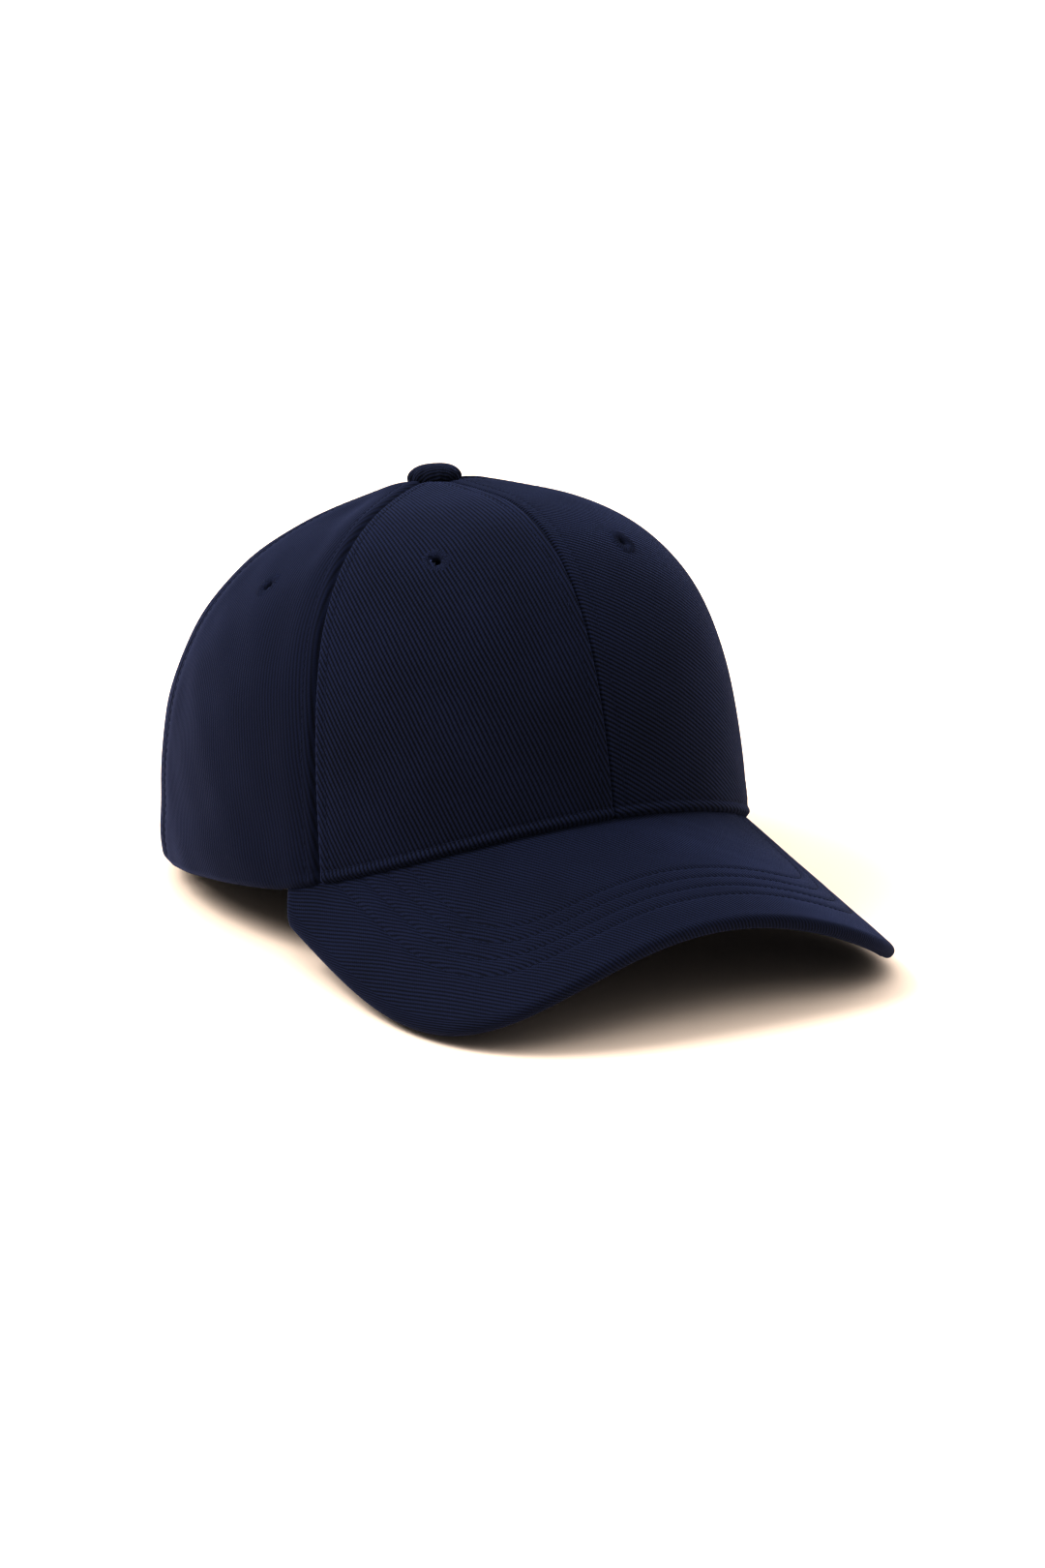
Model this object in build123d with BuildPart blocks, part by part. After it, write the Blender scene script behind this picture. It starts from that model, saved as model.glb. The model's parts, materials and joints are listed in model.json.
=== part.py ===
from build123d import *
from math import atan2, cos, degrees, radians, sin, sqrt, tan
import os

# A six-panel baseball cap with a stiffened front, a curved visor and a strap-and-buckle closure.
#
# Everything is drawn as the cap is worn: the crown's axis is Z, the hem is the plane z = 0 and the front
# faces -Y. Left and right are the wearer's, so right is -X. A "turn" is the angle round the crown from the
# front towards +X. The last section tips the whole cap back until it rests on the rear corners of its hem
# and on the two lobes of the visor, which then touch z = 0.
# All sizes are in millimetres and degrees.

# ---------------------------------------------------------------------------------- driving dimensions

# Crown, outer face of the twill. Powers: 2 is an ellipse, more is squarer, less is more pointed.
front_reach = 96.2
rear_reach = 111.5
half_width = 88.0
crown_height = 112.6
plan_power = 2.05
dome_power = 2.86
front_shoulder = 3.4
side_shoulder = 2.05
rear_shoulder = 1.7

# Panels
side_seam_turn = 56.5
rear_seam_turn = 118.3
seam_gap = 0.1
apex_hole_radius = 2.0

# Depth of each layer under the outer face: (outer side, inner side)
twill = (0.0, 0.8)
stiffener = (0.9, 1.4)
facing = (1.05, 1.5)
tape = (1.75, 2.1)
interlining = (2.75, 3.25)
sweat_cover = (3.35, 4.1)
label_cloth = (4.2, 4.6)
pocket_depth = 5.0          # how much further in the sweatband runs at the rear, to leave room for the strap

tape_width = 18.0
sweatband_height = 33.0
binding_height = 3.0
sweatband_end = 156.0       # turn at which the sweatband stops beside the opening
join_clearance = 0.1

# Visor
visor_half_width = 83.9
visor_length = 56.3         # level distance from the front of the hem to the middle of the visor's edge
visor_back = 36.8           # the visor's ends lie this far in front of the crown's axis
visor_power = 3.95
visor_radius = 104.4        # arch of the visor, seen from the front
visor_crest = 15.7          # height of the visor's top where it meets the front seam
visor_slope = 22.2
cover_thickness = 0.7
board_thickness = 2.35
ply_gap = 0.05
board_setback = 0.6         # the board stops this far short of the crown

# Sewn eyelets: (turn, share of the crown's height). The front pair isn't quite even about the seam.
eyelet_places = [(-29.8, 0.84), (22.2, 0.84), (-85.0, 0.78), (85.0, 0.78), (-149.0, 0.80), (149.0, 0.80)]
eyelet_radius = 5.3
eyelet_hole_radius = 1.6
eyelet_collar_radius = 2.5
eyelet_thickness = 0.5

# Button
button_radius = 8.1
button_dome = 4.6           # from the button's widest point to its top
button_flat = 2.0           # radius of the button's level top
button_waist = 2.7          # height of the button's widest point above the crown
cloth_thickness = 0.8
shell_thickness = 0.6
stud_radius = 1.5
stud_head_radius = 5.0
button_back_radius = 6.5
button_back_drop = 2.4      # from the crown's top to the upper face of the button's back
rim_rounding = 0.4
stud_tail = 0.6             # how far the stud's riveted end stands below the button's back

# Opening at the rear
arch_half_width = 38.0
arch_height = 46.0
facing_width = 8.0
facing_turn = 35.0          # the facing is cut from this much of the crown either side of the back

# Strap and buckle, drawn round the centre of the rear band
band_radius = 76.1
strap_depth = 2.4
strap_thickness = 1.4
strap_rounding = 0.3
strap_bottom = 4.5
strap_height = 18.0
strap_root = -42.0          # angle round the band, 0 straight back, positive to the wearer's right
strap_tail = 44.0
buckle_start = 7.0
buckle_end = 20.5
bar_start = 23.4
bar_end = 24.4
metal_thickness = 1.0
buckle_drop = 1.0           # from the strap's inner face to the buckle's base
window_margin = 2.2
ear_gap = 0.4
ear_thickness = 1.5
ear_half_angle = 2.0
loop_thickness = 0.6
loop_end = 42.0
loop_return = 4.0           # how far the loop's folded ply runs back past the bar, in degrees
loop_fold_start = 1.2       # the fold lies between these angles short of the bar
loop_fold_end = 0.4
fold_gap = 0.1
pin_radius = 0.8
pin_clearance = 0.05
lever_hub_radius = 1.8
lever_rest_gap = 0.2        # between the strap and the lever's hub
lever_length = 14.0
lever_thickness = 1.2
lever_lip = 1.2

# ---------------------------------------------------------------------------------- derived dimensions

band_centre = rear_reach - band_radius
strap_outer = band_radius - strap_depth
strap_inner = strap_outer - strap_thickness
slope_stretch = 1 / cos(radians(visor_slope))
visor_direction = (0, -cos(radians(visor_slope)), -sin(radians(visor_slope)))
visor_depth = 2 * cover_thickness + board_thickness + 2 * ply_gap
reach_of_tools = 200.0      # cutting tools run well past the cap
drill_length = 4 * stiffener[1]
degrees_per_rib = 14        # spacing of the points that shape the crown's level sections
open_top_step = 0.04        # how far the inside of an open-topped layer runs past its outside


# ---------------------------------------------------------------------------------- shared shapes

def oval_reach(turn, length, width, power):
    """Distance from the centre of a squared oval to its outline."""
    along = abs(cos(radians(turn))) / length
    across = abs(sin(radians(turn))) / width
    return (along ** power + across ** power) ** (-1 / power)


def crown_point(turn, level, inset=0.0, rear_inset=0.0):
    """A point of the crown, level 0 at the hem and 1 at the top, inset under the outer face."""
    facing_front = cos(radians(turn)) > 0
    length = front_reach - inset if facing_front else rear_reach - rear_inset
    end_shoulder = front_shoulder if facing_front else rear_shoulder
    shoulder = side_shoulder + (end_shoulder - side_shoulder) * cos(radians(turn)) ** 2
    shrink = (1 - level ** dome_power) ** (1 / shoulder)
    reach = oval_reach(turn, length, half_width - inset, plan_power) * shrink
    return Vector(reach * sin(radians(turn)), -reach * cos(radians(turn)), (crown_height - inset) * level)


def whole_crown_levels():
    """Levels from the hem to the top, closer together where the crown turns over."""
    steps = 8
    return [1 - (1 - step / steps) ** 3 for step in range(steps)]


def hem_levels():
    """Levels for pieces that only need the lowest part of the crown."""
    return [0.0, 0.18, 0.36, 0.54]


def crown_slice(start, end, inset, levels, rear_extra=0.0, skirt=0.0):
    """The solid slice of the crown between two turns at one depth, with an optional skirt below the hem."""
    steps = max(5, round((end - start) / degrees_per_rib))
    turns = [start + (end - start) * step / steps for step in range(steps + 1)]
    sections = []
    for level in levels:
        rim = [crown_point(turn, level, inset, inset + rear_extra) for turn in turns]
        with BuildSketch(Plane.XY.offset((crown_height - inset) * level)) as section:
            with BuildLine():
                arc = Spline([(point.X, point.Y) for point in rim])
                Line(arc @ 0, (0, 0))
                Line(arc @ 1, (0, 0))
            make_face()
        sections.append(section.sketch)
    with BuildPart() as piece:
        loft(sections)
        if skirt:
            add(sections[0])
            extrude(amount=-skirt)
    return piece.part


def crown_layer(start, end, depths, levels, rear_extra=0.0):
    """One layer of the crown between two turns and two depths, closed at the top only on a whole crown."""
    outer, inner = depths
    inner_levels = levels if levels == whole_crown_levels() else levels + [levels[-1] + open_top_step]
    with BuildPart() as layer:
        add(crown_slice(start, end, outer, levels, rear_extra))
        add(crown_slice(start, end, inner, inner_levels, rear_extra), mode=Mode.SUBTRACT)
    return layer.part


def seam_plane(turn, clearance=0.0):
    """Upright plane through the crown's axis along one seam. Its normal points to greater turns."""
    normal = Vector(cos(radians(turn)), sin(radians(turn)), 0)
    return Plane(origin=normal * clearance, z_dir=normal)


def under_visor_top(rise=0.0):
    """Everything below the visor's top face, raised by rise, in front of the visor's ends."""
    arch_centre = visor_crest - visor_radius + tan(radians(visor_slope)) * (front_reach - visor_back) + rise
    with BuildPart() as tool:
        with BuildSketch(Plane.XZ.offset(visor_back)):
            with Locations((0, arch_centre)):
                Circle(visor_radius)
                Rectangle(2 * visor_radius, visor_radius, align=(Align.CENTER, Align.MAX))
        extrude(amount=reach_of_tools, dir=visor_direction)
    return tool.part


def band_zone(height):
    """The zone within height above the hem, following the visor's under face at the front."""
    with BuildPart() as zone:
        add(under_visor_top(height - visor_depth))
        with Locations((0, -visor_back, 0)):
            Box(reach_of_tools, reach_of_tools, height, align=(Align.CENTER, Align.MIN, Align.MIN))
    return zone.part


def arch_prism(margin=0.0):
    """The half-moon opening as a prism running back from the crown's axis."""
    with BuildPart() as prism:
        with BuildSketch(Plane.XZ):
            Ellipse(arch_half_width + margin, arch_height + margin)
        extrude(amount=-reach_of_tools)
    return prism.part


def eyelet_plane(turn, level):
    """Plane touching the crown at an eyelet, normal pointing out."""
    across = crown_point(turn + 1, level) - crown_point(turn - 1, level)
    upward = crown_point(turn, level + 0.01) - crown_point(turn, level - 0.01)
    return Plane(origin=crown_point(turn, level), x_dir=across, z_dir=across.cross(upward))


def band_strip(outer_radius, thickness, start, end, bottom, height):
    """Upright strip curved round the centre of the rear band, between two angles."""
    with BuildPart() as strip:
        with BuildSketch(Plane.XY.offset(bottom)):
            with BuildLine():
                outer = CenterArc((0, band_centre), outer_radius, 90 + start, end - start)
                inner = CenterArc((0, band_centre), outer_radius - thickness, 90 + start, end - start)
                Line(outer @ 0, inner @ 0)
                Line(outer @ 1, inner @ 1)
            make_face()
        extrude(amount=height)
    return strip.part


below_join = under_visor_top(join_clearance)
opening = arch_prism()
eyelets = [(turn % 360, level) for turn, level in eyelet_places]

pieces = []


# ---------------------------------------------------------------------------------- crown panels

def crown_gore(start, end, depths):
    """A panel between two seams, trimmed at the visor, the opening, the apex and its eyelet."""
    seam_turn = degrees(seam_gap / half_width)
    with BuildPart() as gore:
        add(crown_layer(start + seam_turn, end - seam_turn, depths, whole_crown_levels()))
        if cos(radians((start + end) / 2)) > -0.5:
            add(below_join, mode=Mode.SUBTRACT)
        else:
            add(opening, mode=Mode.SUBTRACT)
        with Locations((0, 0, crown_height)):
            Cylinder(apex_hole_radius, drill_length, mode=Mode.SUBTRACT)
        with Locations(*[eyelet_plane(turn, level) for turn, level in eyelets if start < turn < end]):
            Cylinder(eyelet_collar_radius + seam_gap, drill_length, mode=Mode.SUBTRACT)
    return gore.part


panels = {
    "front_panel_left": (0, side_seam_turn, twill),
    "side_panel_left": (side_seam_turn, rear_seam_turn, twill),
    "rear_panel_left": (rear_seam_turn, 180, twill),
    "rear_panel_right": (180, 360 - rear_seam_turn, twill),
    "side_panel_right": (360 - rear_seam_turn, 360 - side_seam_turn, twill),
    "front_panel_right": (360 - side_seam_turn, 360, twill),
    "front_buckram_left": (0, side_seam_turn, stiffener),
    "front_buckram_right": (360 - side_seam_turn, 360, stiffener),
}

for label, (start, end, depths) in panels.items():
    with BuildPart() as panel:
        add(crown_gore(start, end, depths))
    panel.part.label = label
    pieces.append(panel.part)

# ---------------------------------------------------------------------------------- seam tapes

tape_seams = {
    "front_seam_tape": 0,
    "front_left_seam_tape": side_seam_turn,
    "rear_left_seam_tape": rear_seam_turn,
    "rear_seam_tape": 180,
    "rear_right_seam_tape": -rear_seam_turn,
    "front_right_seam_tape": -side_seam_turn,
}
tape_wedge = 28.0           # each tape keeps to this angle either side of its seam near the apex

for label, turn in tape_seams.items():
    with BuildPart() as seam_tape:
        add(crown_layer(turn - tape_wedge, turn + tape_wedge, tape, whole_crown_levels()))
        split(bisect_by=seam_plane(turn, -tape_width / 2), keep=Keep.TOP)
        split(bisect_by=seam_plane(turn, tape_width / 2), keep=Keep.BOTTOM)
        if abs(turn) < 90:
            add(below_join, mode=Mode.SUBTRACT)
        if turn == 180:
            add(opening, mode=Mode.SUBTRACT)
        with Locations((0, 0, crown_height)):
            Cylinder(apex_hole_radius, drill_length, mode=Mode.SUBTRACT)
    seam_tape.part.label = label
    pieces.append(seam_tape.part)

# ---------------------------------------------------------------------------------- sewn eyelets

with BuildPart() as sewn_eyelets:
    for turn, level in eyelets:
        plane = eyelet_plane(turn, level)
        with BuildSketch(plane.offset(join_clearance)):
            Circle(eyelet_radius)
            Circle(eyelet_hole_radius, mode=Mode.SUBTRACT)
        extrude(amount=eyelet_thickness)
        with BuildSketch(plane.offset(join_clearance)):
            Circle(eyelet_collar_radius)
            Circle(eyelet_hole_radius, mode=Mode.SUBTRACT)
        extrude(amount=-stiffener[1])
sewn_eyelets.part.label = "sewn_eyelets"
pieces.append(sewn_eyelets.part)

# ---------------------------------------------------------------------------------- sweatband

def band_layer(depths, bottom, top):
    """A layer of the sweatband between two heights above the hem, open at the rear."""
    with BuildPart() as band:
        add(crown_layer(-sweatband_end, sweatband_end, depths, hem_levels(), pocket_depth))
        add(band_zone(top), mode=Mode.INTERSECT)
        if bottom:
            add(band_zone(bottom), mode=Mode.SUBTRACT)
        add(under_visor_top(bottom - visor_depth), mode=Mode.SUBTRACT)
    return band.part


with BuildPart() as sweatband:
    add(band_layer(sweat_cover, 0, sweatband_height))
sweatband.part.label = "sweatband"
pieces.append(sweatband.part)

with BuildPart() as sweatband_interlining:
    add(band_layer(interlining, 0, sweatband_height))
sweatband_interlining.part.label = "sweatband_interlining"
pieces.append(sweatband_interlining.part)

binding_bottom = sweatband_height + join_clearance
with BuildPart() as sweatband_binding:
    add(band_layer((interlining[0], sweat_cover[1]), binding_bottom, binding_bottom + binding_height))
sweatband_binding.part.label = "sweatband_binding"
pieces.append(sweatband_binding.part)

# A blank woven tab, sewn to the sweatband beside the opening
label_start = 134.0
label_end = 152.0
label_bottom = 8.0
label_height = 18.0

with BuildPart() as care_label:
    add(crown_layer(label_start, label_end, label_cloth, hem_levels(), pocket_depth))
    with Locations((0, 0, label_bottom)):
        Box(
            2 * reach_of_tools,
            2 * reach_of_tools,
            label_height,
            align=(Align.CENTER, Align.CENTER, Align.MIN),
            mode=Mode.INTERSECT,
        )
care_label.part.label = "care_label"
pieces.append(care_label.part)

# ---------------------------------------------------------------------------------- visor

def visor_edge_point(turn, margin):
    """A point of the visor's outline seen from above, turn degrees round from its middle."""
    length = front_reach + visor_length - visor_back - margin
    reach = oval_reach(turn, length, visor_half_width - margin, visor_power)
    return reach * sin(radians(turn)), -visor_back - reach * cos(radians(turn))


def visor_height(x, y, depth):
    """Height of the visor's surface at one depth under its top face."""
    arch = sqrt((visor_radius - depth * slope_stretch) ** 2 - x ** 2) - visor_radius
    return visor_crest + arch + tan(radians(visor_slope)) * (y + front_reach)


def visor_slab(top, bottom, margin, crown_inset):
    """The visor between two depths under its top face, short of its edge by margin and of the crown."""
    arch_centre = visor_crest - visor_radius + tan(radians(visor_slope)) * (front_reach - visor_back)
    plan = [visor_edge_point(turn, margin) for turn in range(-90, 91, 6)]
    with BuildPart() as slab:
        with BuildSketch(Plane.XZ.offset(visor_back)):
            with Locations((0, arch_centre)):
                Circle(visor_radius - top * slope_stretch)
                Circle(visor_radius - bottom * slope_stretch, mode=Mode.SUBTRACT)
                Rectangle(
                    3 * visor_radius, 3 * visor_radius, align=(Align.CENTER, Align.MAX), mode=Mode.SUBTRACT
                )
        extrude(amount=reach_of_tools, dir=visor_direction)
        with BuildSketch(Plane.XY.offset(-reach_of_tools)):
            with BuildLine():
                edge = Spline(plan)
                Line(edge @ 0, edge @ 1)
            make_face()
        extrude(amount=2 * reach_of_tools, mode=Mode.INTERSECT)
        if crown_inset is not None:
            add(crown_slice(-85, 85, crown_inset, hem_levels(), 0.0, reach_of_tools), mode=Mode.SUBTRACT)
    return slab.part


board_top = cover_thickness + ply_gap
under_top = board_top + board_thickness + ply_gap
seam_inset = twill[1] + seam_gap

with BuildPart() as visor_top_cover:
    add(visor_slab(0, visor_depth, 0, seam_inset))
    add(visor_slab(cover_thickness, 2 * visor_depth, cover_thickness, None), mode=Mode.SUBTRACT)
visor_top_cover.part.label = "visor_top_cover"

with BuildPart() as visor_board:
    add(visor_slab(board_top, under_top - ply_gap, cover_thickness + ply_gap, -board_setback))
visor_board.part.label = "visor_board"

with BuildPart() as visor_under_cover:
    add(visor_slab(under_top, visor_depth, cover_thickness + ply_gap, seam_inset))
visor_under_cover.part.label = "visor_under_cover"

pieces += [visor_top_cover.part, visor_board.part, visor_under_cover.part]

# ---------------------------------------------------------------------------------- button

def dome_section(shrink):
    """Section of the button right of its axis, at one offset inside its outside."""
    width = button_radius - shrink
    height = button_dome - shrink
    with BuildSketch(Plane.XZ) as section:
        with Locations((button_flat, crown_height + button_waist)):
            Ellipse(width - button_flat, height)
        with Locations((0, crown_height + button_waist)):
            Rectangle(button_flat, 2 * height, align=(Align.MIN, Align.CENTER))
        with Locations((0, crown_height)):
            Rectangle(
                3 * button_radius, 6 * button_radius, align=(Align.MAX, Align.CENTER), mode=Mode.SUBTRACT
            )
        with Locations((0, crown_height + join_clearance)):
            Rectangle(
                3 * button_radius, 3 * button_radius, align=(Align.CENTER, Align.MAX), mode=Mode.SUBTRACT
            )
    return section.sketch


def dome_ring(outer_shrink, inner_shrink):
    """A dome between two offsets inside the button's outside."""
    with BuildPart() as ring:
        add(dome_section(outer_shrink))
        revolve(axis=Axis.Z)
        add(dome_section(inner_shrink))
        revolve(axis=Axis.Z, mode=Mode.SUBTRACT)
    return ring.part


with BuildPart() as button_cover:
    add(dome_ring(0, cloth_thickness))
button_cover.part.label = "button_cover"

shell_offset = cloth_thickness + ply_gap
with BuildPart() as button_shell:
    add(dome_ring(shell_offset, shell_offset + shell_thickness))
button_shell.part.label = "button_shell"

stud_top = crown_height + button_waist
stud_end = crown_height - button_back_drop - metal_thickness - stud_tail
with BuildPart() as button_stud:
    with BuildSketch(Plane.XY.offset(stud_end)):
        Circle(stud_radius)
    extrude(amount=stud_top - stud_end)
    with BuildSketch(Plane.XY.offset(stud_top - shell_thickness)):
        Circle(stud_head_radius)
    extrude(amount=shell_thickness)
button_stud.part.label = "button_stud"

with BuildPart() as button_back:
    with BuildSketch(Plane.XY.offset(crown_height - button_back_drop)):
        Circle(button_back_radius)
        Circle(stud_radius + ply_gap, mode=Mode.SUBTRACT)
    extrude(amount=-metal_thickness)
    lower_rim = button_back.edges().group_by(Axis.Z)[0].filter_by(GeomType.CIRCLE).sort_by(SortBy.RADIUS)[-1]
    fillet(lower_rim, rim_rounding)
button_back.part.label = "button_back"

pieces += [button_cover.part, button_shell.part, button_stud.part, button_back.part]

# ---------------------------------------------------------------------------------- rear opening

with BuildPart() as opening_binding:
    add(crown_layer(180 - facing_turn, 180 + facing_turn, facing, whole_crown_levels()))
    add(arch_prism(facing_width), mode=Mode.INTERSECT)
    add(opening, mode=Mode.SUBTRACT)
opening_binding.part.label = "opening_binding"

with BuildPart() as closure_strap:
    add(band_strip(strap_outer, strap_thickness, strap_root, strap_tail, strap_bottom, strap_height))
    fillet(closure_strap.edges().filter_by(Axis.Z).group_by(Axis.X)[0].sort_by(Axis.Y), strap_rounding)
closure_strap.part.label = "closure_strap"

pieces += [opening_binding.part, closure_strap.part]

# ---------------------------------------------------------------------------------- buckle

base_outer = strap_inner - buckle_drop
strap_top = strap_bottom + strap_height
ear_bottom = strap_bottom - ear_gap - ear_thickness
buckle_height = strap_height + 2 * (ear_gap + ear_thickness)
ear_top = ear_bottom + buckle_height
pin_distance = strap_outer + lever_hub_radius + lever_rest_gap
pin_angle = buckle_start + 2 * ear_half_angle
buckle_turn = radians(90 + pin_angle)
pin_centre = (pin_distance * cos(buckle_turn), band_centre + pin_distance * sin(buckle_turn))
# Plan plane at the pin: local x runs along the strap towards its root, local y points out of the cap
lever_plane = Plane(
    origin=(*pin_centre, 0), x_dir=(sin(buckle_turn), -cos(buckle_turn), 0), z_dir=(0, 0, 1)
)

with BuildPart() as buckle_frame:
    add(band_strip(base_outer, metal_thickness, buckle_start, bar_end, ear_bottom, buckle_height))
    add(
        band_strip(
            base_outer + metal_thickness,
            3 * metal_thickness,
            buckle_end,
            bar_start,
            ear_bottom + window_margin,
            buckle_height - 2 * window_margin,
        ),
        mode=Mode.SUBTRACT,
    )
    ear_reach = pin_distance + pin_radius + metal_thickness - base_outer + metal_thickness
    for bottom in (ear_bottom, ear_top - ear_thickness):
        add(
            band_strip(
                base_outer - metal_thickness + ear_reach,
                ear_reach,
                pin_angle - ear_half_angle,
                pin_angle + ear_half_angle,
                bottom,
                ear_thickness,
            )
        )
    with BuildSketch(lever_plane):
        Circle(pin_radius + pin_clearance / 2)
    extrude(amount=2 * ear_top, mode=Mode.SUBTRACT)
buckle_frame.part.label = "buckle_frame"

with BuildPart() as buckle_pin:
    with BuildSketch(lever_plane.offset(ear_bottom)):
        Circle(pin_radius)
    extrude(amount=buckle_height)
buckle_pin.part.label = "buckle_pin"

lever_bottom = strap_bottom - ear_gap / 2
with BuildPart() as buckle_lever:
    with BuildSketch(lever_plane.offset(lever_bottom)):
        Circle(lever_hub_radius)
        with Locations((0, lever_hub_radius)):
            Rectangle(lever_length, lever_thickness, align=(Align.MAX, Align.MAX))
        with Locations((-lever_length, lever_hub_radius - lever_thickness)):
            Rectangle(lever_lip, lever_thickness + lever_lip, align=(Align.MIN, Align.MIN))
        Circle(pin_radius + pin_clearance, mode=Mode.SUBTRACT)
    extrude(amount=strap_height + ear_gap)
buckle_lever.part.label = "buckle_lever"

# Fabric tab that holds the buckle: one ply in front of the bar, one folded back behind it
fold_angle = bar_start - loop_fold_start
front_ply = base_outer + fold_gap + loop_thickness
loop_bottom = ear_bottom + window_margin + 2 * fold_gap
loop_height = buckle_height - 2 * window_margin - 4 * fold_gap
with BuildPart() as buckle_loop:
    add(band_strip(front_ply, loop_thickness, fold_angle, loop_end, loop_bottom, loop_height))
    back_ply = base_outer - metal_thickness - fold_gap
    add(band_strip(back_ply, loop_thickness, fold_angle, bar_end + loop_return, loop_bottom, loop_height))
    fold_depth = front_ply - back_ply + loop_thickness
    add(band_strip(front_ply, fold_depth, fold_angle, bar_start - loop_fold_end, loop_bottom, loop_height))
buckle_loop.part.label = "buckle_loop"

pieces += [buckle_frame.part, buckle_pin.part, buckle_lever.part, buckle_loop.part]

# ---------------------------------------------------------------------------------- resting pose

# The cap rests on the rear corners of its hem and on the lowest points of the visor's lower edge.
corner_share = 1 - (arch_half_width / half_width) ** plan_power
rear_corner = rear_reach * corner_share ** (1 / plan_power)
lower_edge = [visor_edge_point(turn, 0) for turn in range(-90, 91, 2)]
tip_angle = max(
    degrees(atan2(-visor_height(x, y, visor_depth), rear_corner - y)) for x, y in lower_edge
)
lift = rear_corner * sin(radians(tip_angle))
resting = Location((0, 0, lift), (-tip_angle, 0, 0))

os.makedirs("parts", exist_ok=True)
for piece in pieces:
    export_step(piece.moved(resting), f"parts/{piece.label}.step")
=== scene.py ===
import json
import math
import bmesh
import bpy
import numpy as np
from mathutils import Matrix, Vector


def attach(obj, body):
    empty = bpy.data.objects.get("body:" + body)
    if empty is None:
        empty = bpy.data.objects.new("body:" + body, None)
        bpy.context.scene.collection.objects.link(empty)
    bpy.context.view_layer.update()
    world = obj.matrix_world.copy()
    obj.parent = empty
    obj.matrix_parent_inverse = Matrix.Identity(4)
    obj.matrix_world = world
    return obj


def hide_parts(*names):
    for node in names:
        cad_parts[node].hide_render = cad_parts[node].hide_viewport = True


# A six-panel twill baseball cap. Shapes are worked out in millimetres as the cap is worn: the crown's axis
# is Z, the hem is z = 0, the front faces -Y. A "turn" is the angle round the crown from the front towards +X.
# to_scene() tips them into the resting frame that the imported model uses, in metres.

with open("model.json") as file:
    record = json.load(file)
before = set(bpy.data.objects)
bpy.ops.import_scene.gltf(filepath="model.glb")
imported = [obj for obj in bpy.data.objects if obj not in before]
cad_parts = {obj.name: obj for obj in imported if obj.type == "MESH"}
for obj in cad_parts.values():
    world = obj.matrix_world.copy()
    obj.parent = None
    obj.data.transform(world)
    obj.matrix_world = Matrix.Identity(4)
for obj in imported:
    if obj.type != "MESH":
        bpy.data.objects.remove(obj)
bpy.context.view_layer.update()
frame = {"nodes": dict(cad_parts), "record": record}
record = frame["record"]
joints = {joint["name"]: joint for joint in record["behaviour"]["joints"]}
mounts = {mount["name"]: mount for mount in record["mounts"]}

MM = 0.001
STRAP_AXIS = joints["strap_slide"]["axis"]
TIP = math.atan2(STRAP_AXIS[1], STRAP_AXIS[2])
LIFT = mounts["hem_edge"]["pos_m"][2] / MM

# ---------------------------------------- sizes, mm

FRONT_REACH = 96.2
REAR_REACH = 111.5
HALF_WIDTH = 88.0
CROWN_HEIGHT = 112.6
PLAN_POWER = 2.05
DOME_POWER = 2.86
FRONT_SHOULDER = 3.4
SIDE_SHOULDER = 2.05
REAR_SHOULDER = 1.7
SIDE_SEAM = 56.5
REAR_SEAM = 118.3
TWILL = 0.8
POCKET = 5.0

VISOR_HALF_WIDTH = 85.7
VISOR_LENGTH = 56.3
VISOR_BACK = 36.8
VISOR_POWER = 3.95
VISOR_RADIUS = 104.4
VISOR_CREST = 15.7
VISOR_SLOPE = math.radians(22.2)
VISOR_THICKNESS = 4.6
VISOR_ROWS = (13.0, 18.0, 23.0, 28.0)

ARCH_HALF_WIDTH = 38.0
ARCH_HEIGHT = 46.0
EYELETS = [(-29.8, 0.84), (22.2, 0.84), (-85.0, 0.78), (85.0, 0.78), (-149.0, 0.80), (149.0, 0.80)]
EYELET_RADIUS = 5.3
EYELET_HOLE = 1.5
EYELET_CUT = 2.4
SEAM_ROW = 4.0
JOIN_ROW = 4.2

STITCH_PITCH = 2.5
STITCH_LENGTH = 2.0
THREAD_RADIUS = 0.12
THREAD_SUNK = 0.1
THREAD_SIDES = 6


# ---------------------------------------- crown maths

def oval_reach(turn, length, width, power):
    along = np.abs(np.cos(turn)) / length
    across = np.abs(np.sin(turn)) / width
    return (along ** power + across ** power) ** (-1 / power)


def crown_reach(turn, level, inset=0.0, rear_inset=None):
    """Level distance from the crown's axis to its face."""
    rear_inset = inset if rear_inset is None else rear_inset
    front = np.cos(turn) > 0
    length = np.where(front, FRONT_REACH - inset, REAR_REACH - rear_inset)
    shoulder = np.where(front, FRONT_SHOULDER, REAR_SHOULDER)
    power = SIDE_SHOULDER + (shoulder - SIDE_SHOULDER) * np.cos(turn) ** 2
    shrink = np.clip(1 - np.clip(level, 0, 1) ** DOME_POWER, 1e-9, 1) ** (1 / power)
    return oval_reach(turn, length, HALF_WIDTH - inset, PLAN_POWER) * shrink


def crown(turn, level, inset=0.0, rear_inset=None):
    reach = crown_reach(turn, level, inset, rear_inset)
    height = (CROWN_HEIGHT - inset) * level
    return np.stack([reach * np.sin(turn), -reach * np.cos(turn), height + 0 * turn], -1)


def unit(vectors):
    return vectors / np.maximum(np.linalg.norm(vectors, axis=-1, keepdims=True), 1e-12)


def last_true(test, low, high):
    """The largest value for which a test still holds, for each element between low and high."""
    for _ in range(40):
        middle = (low + high) / 2
        holds = test(middle)
        low = np.where(holds, middle, low)
        high = np.where(holds, high, middle)
    return low


def run_length(points, axis=0):
    """Distance along a path or a grid's rows or columns, from the first point."""
    steps = np.linalg.norm(np.diff(points, axis=axis), axis=-1)
    return np.insert(np.cumsum(steps, axis=axis), 0, 0, axis=axis)


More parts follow.
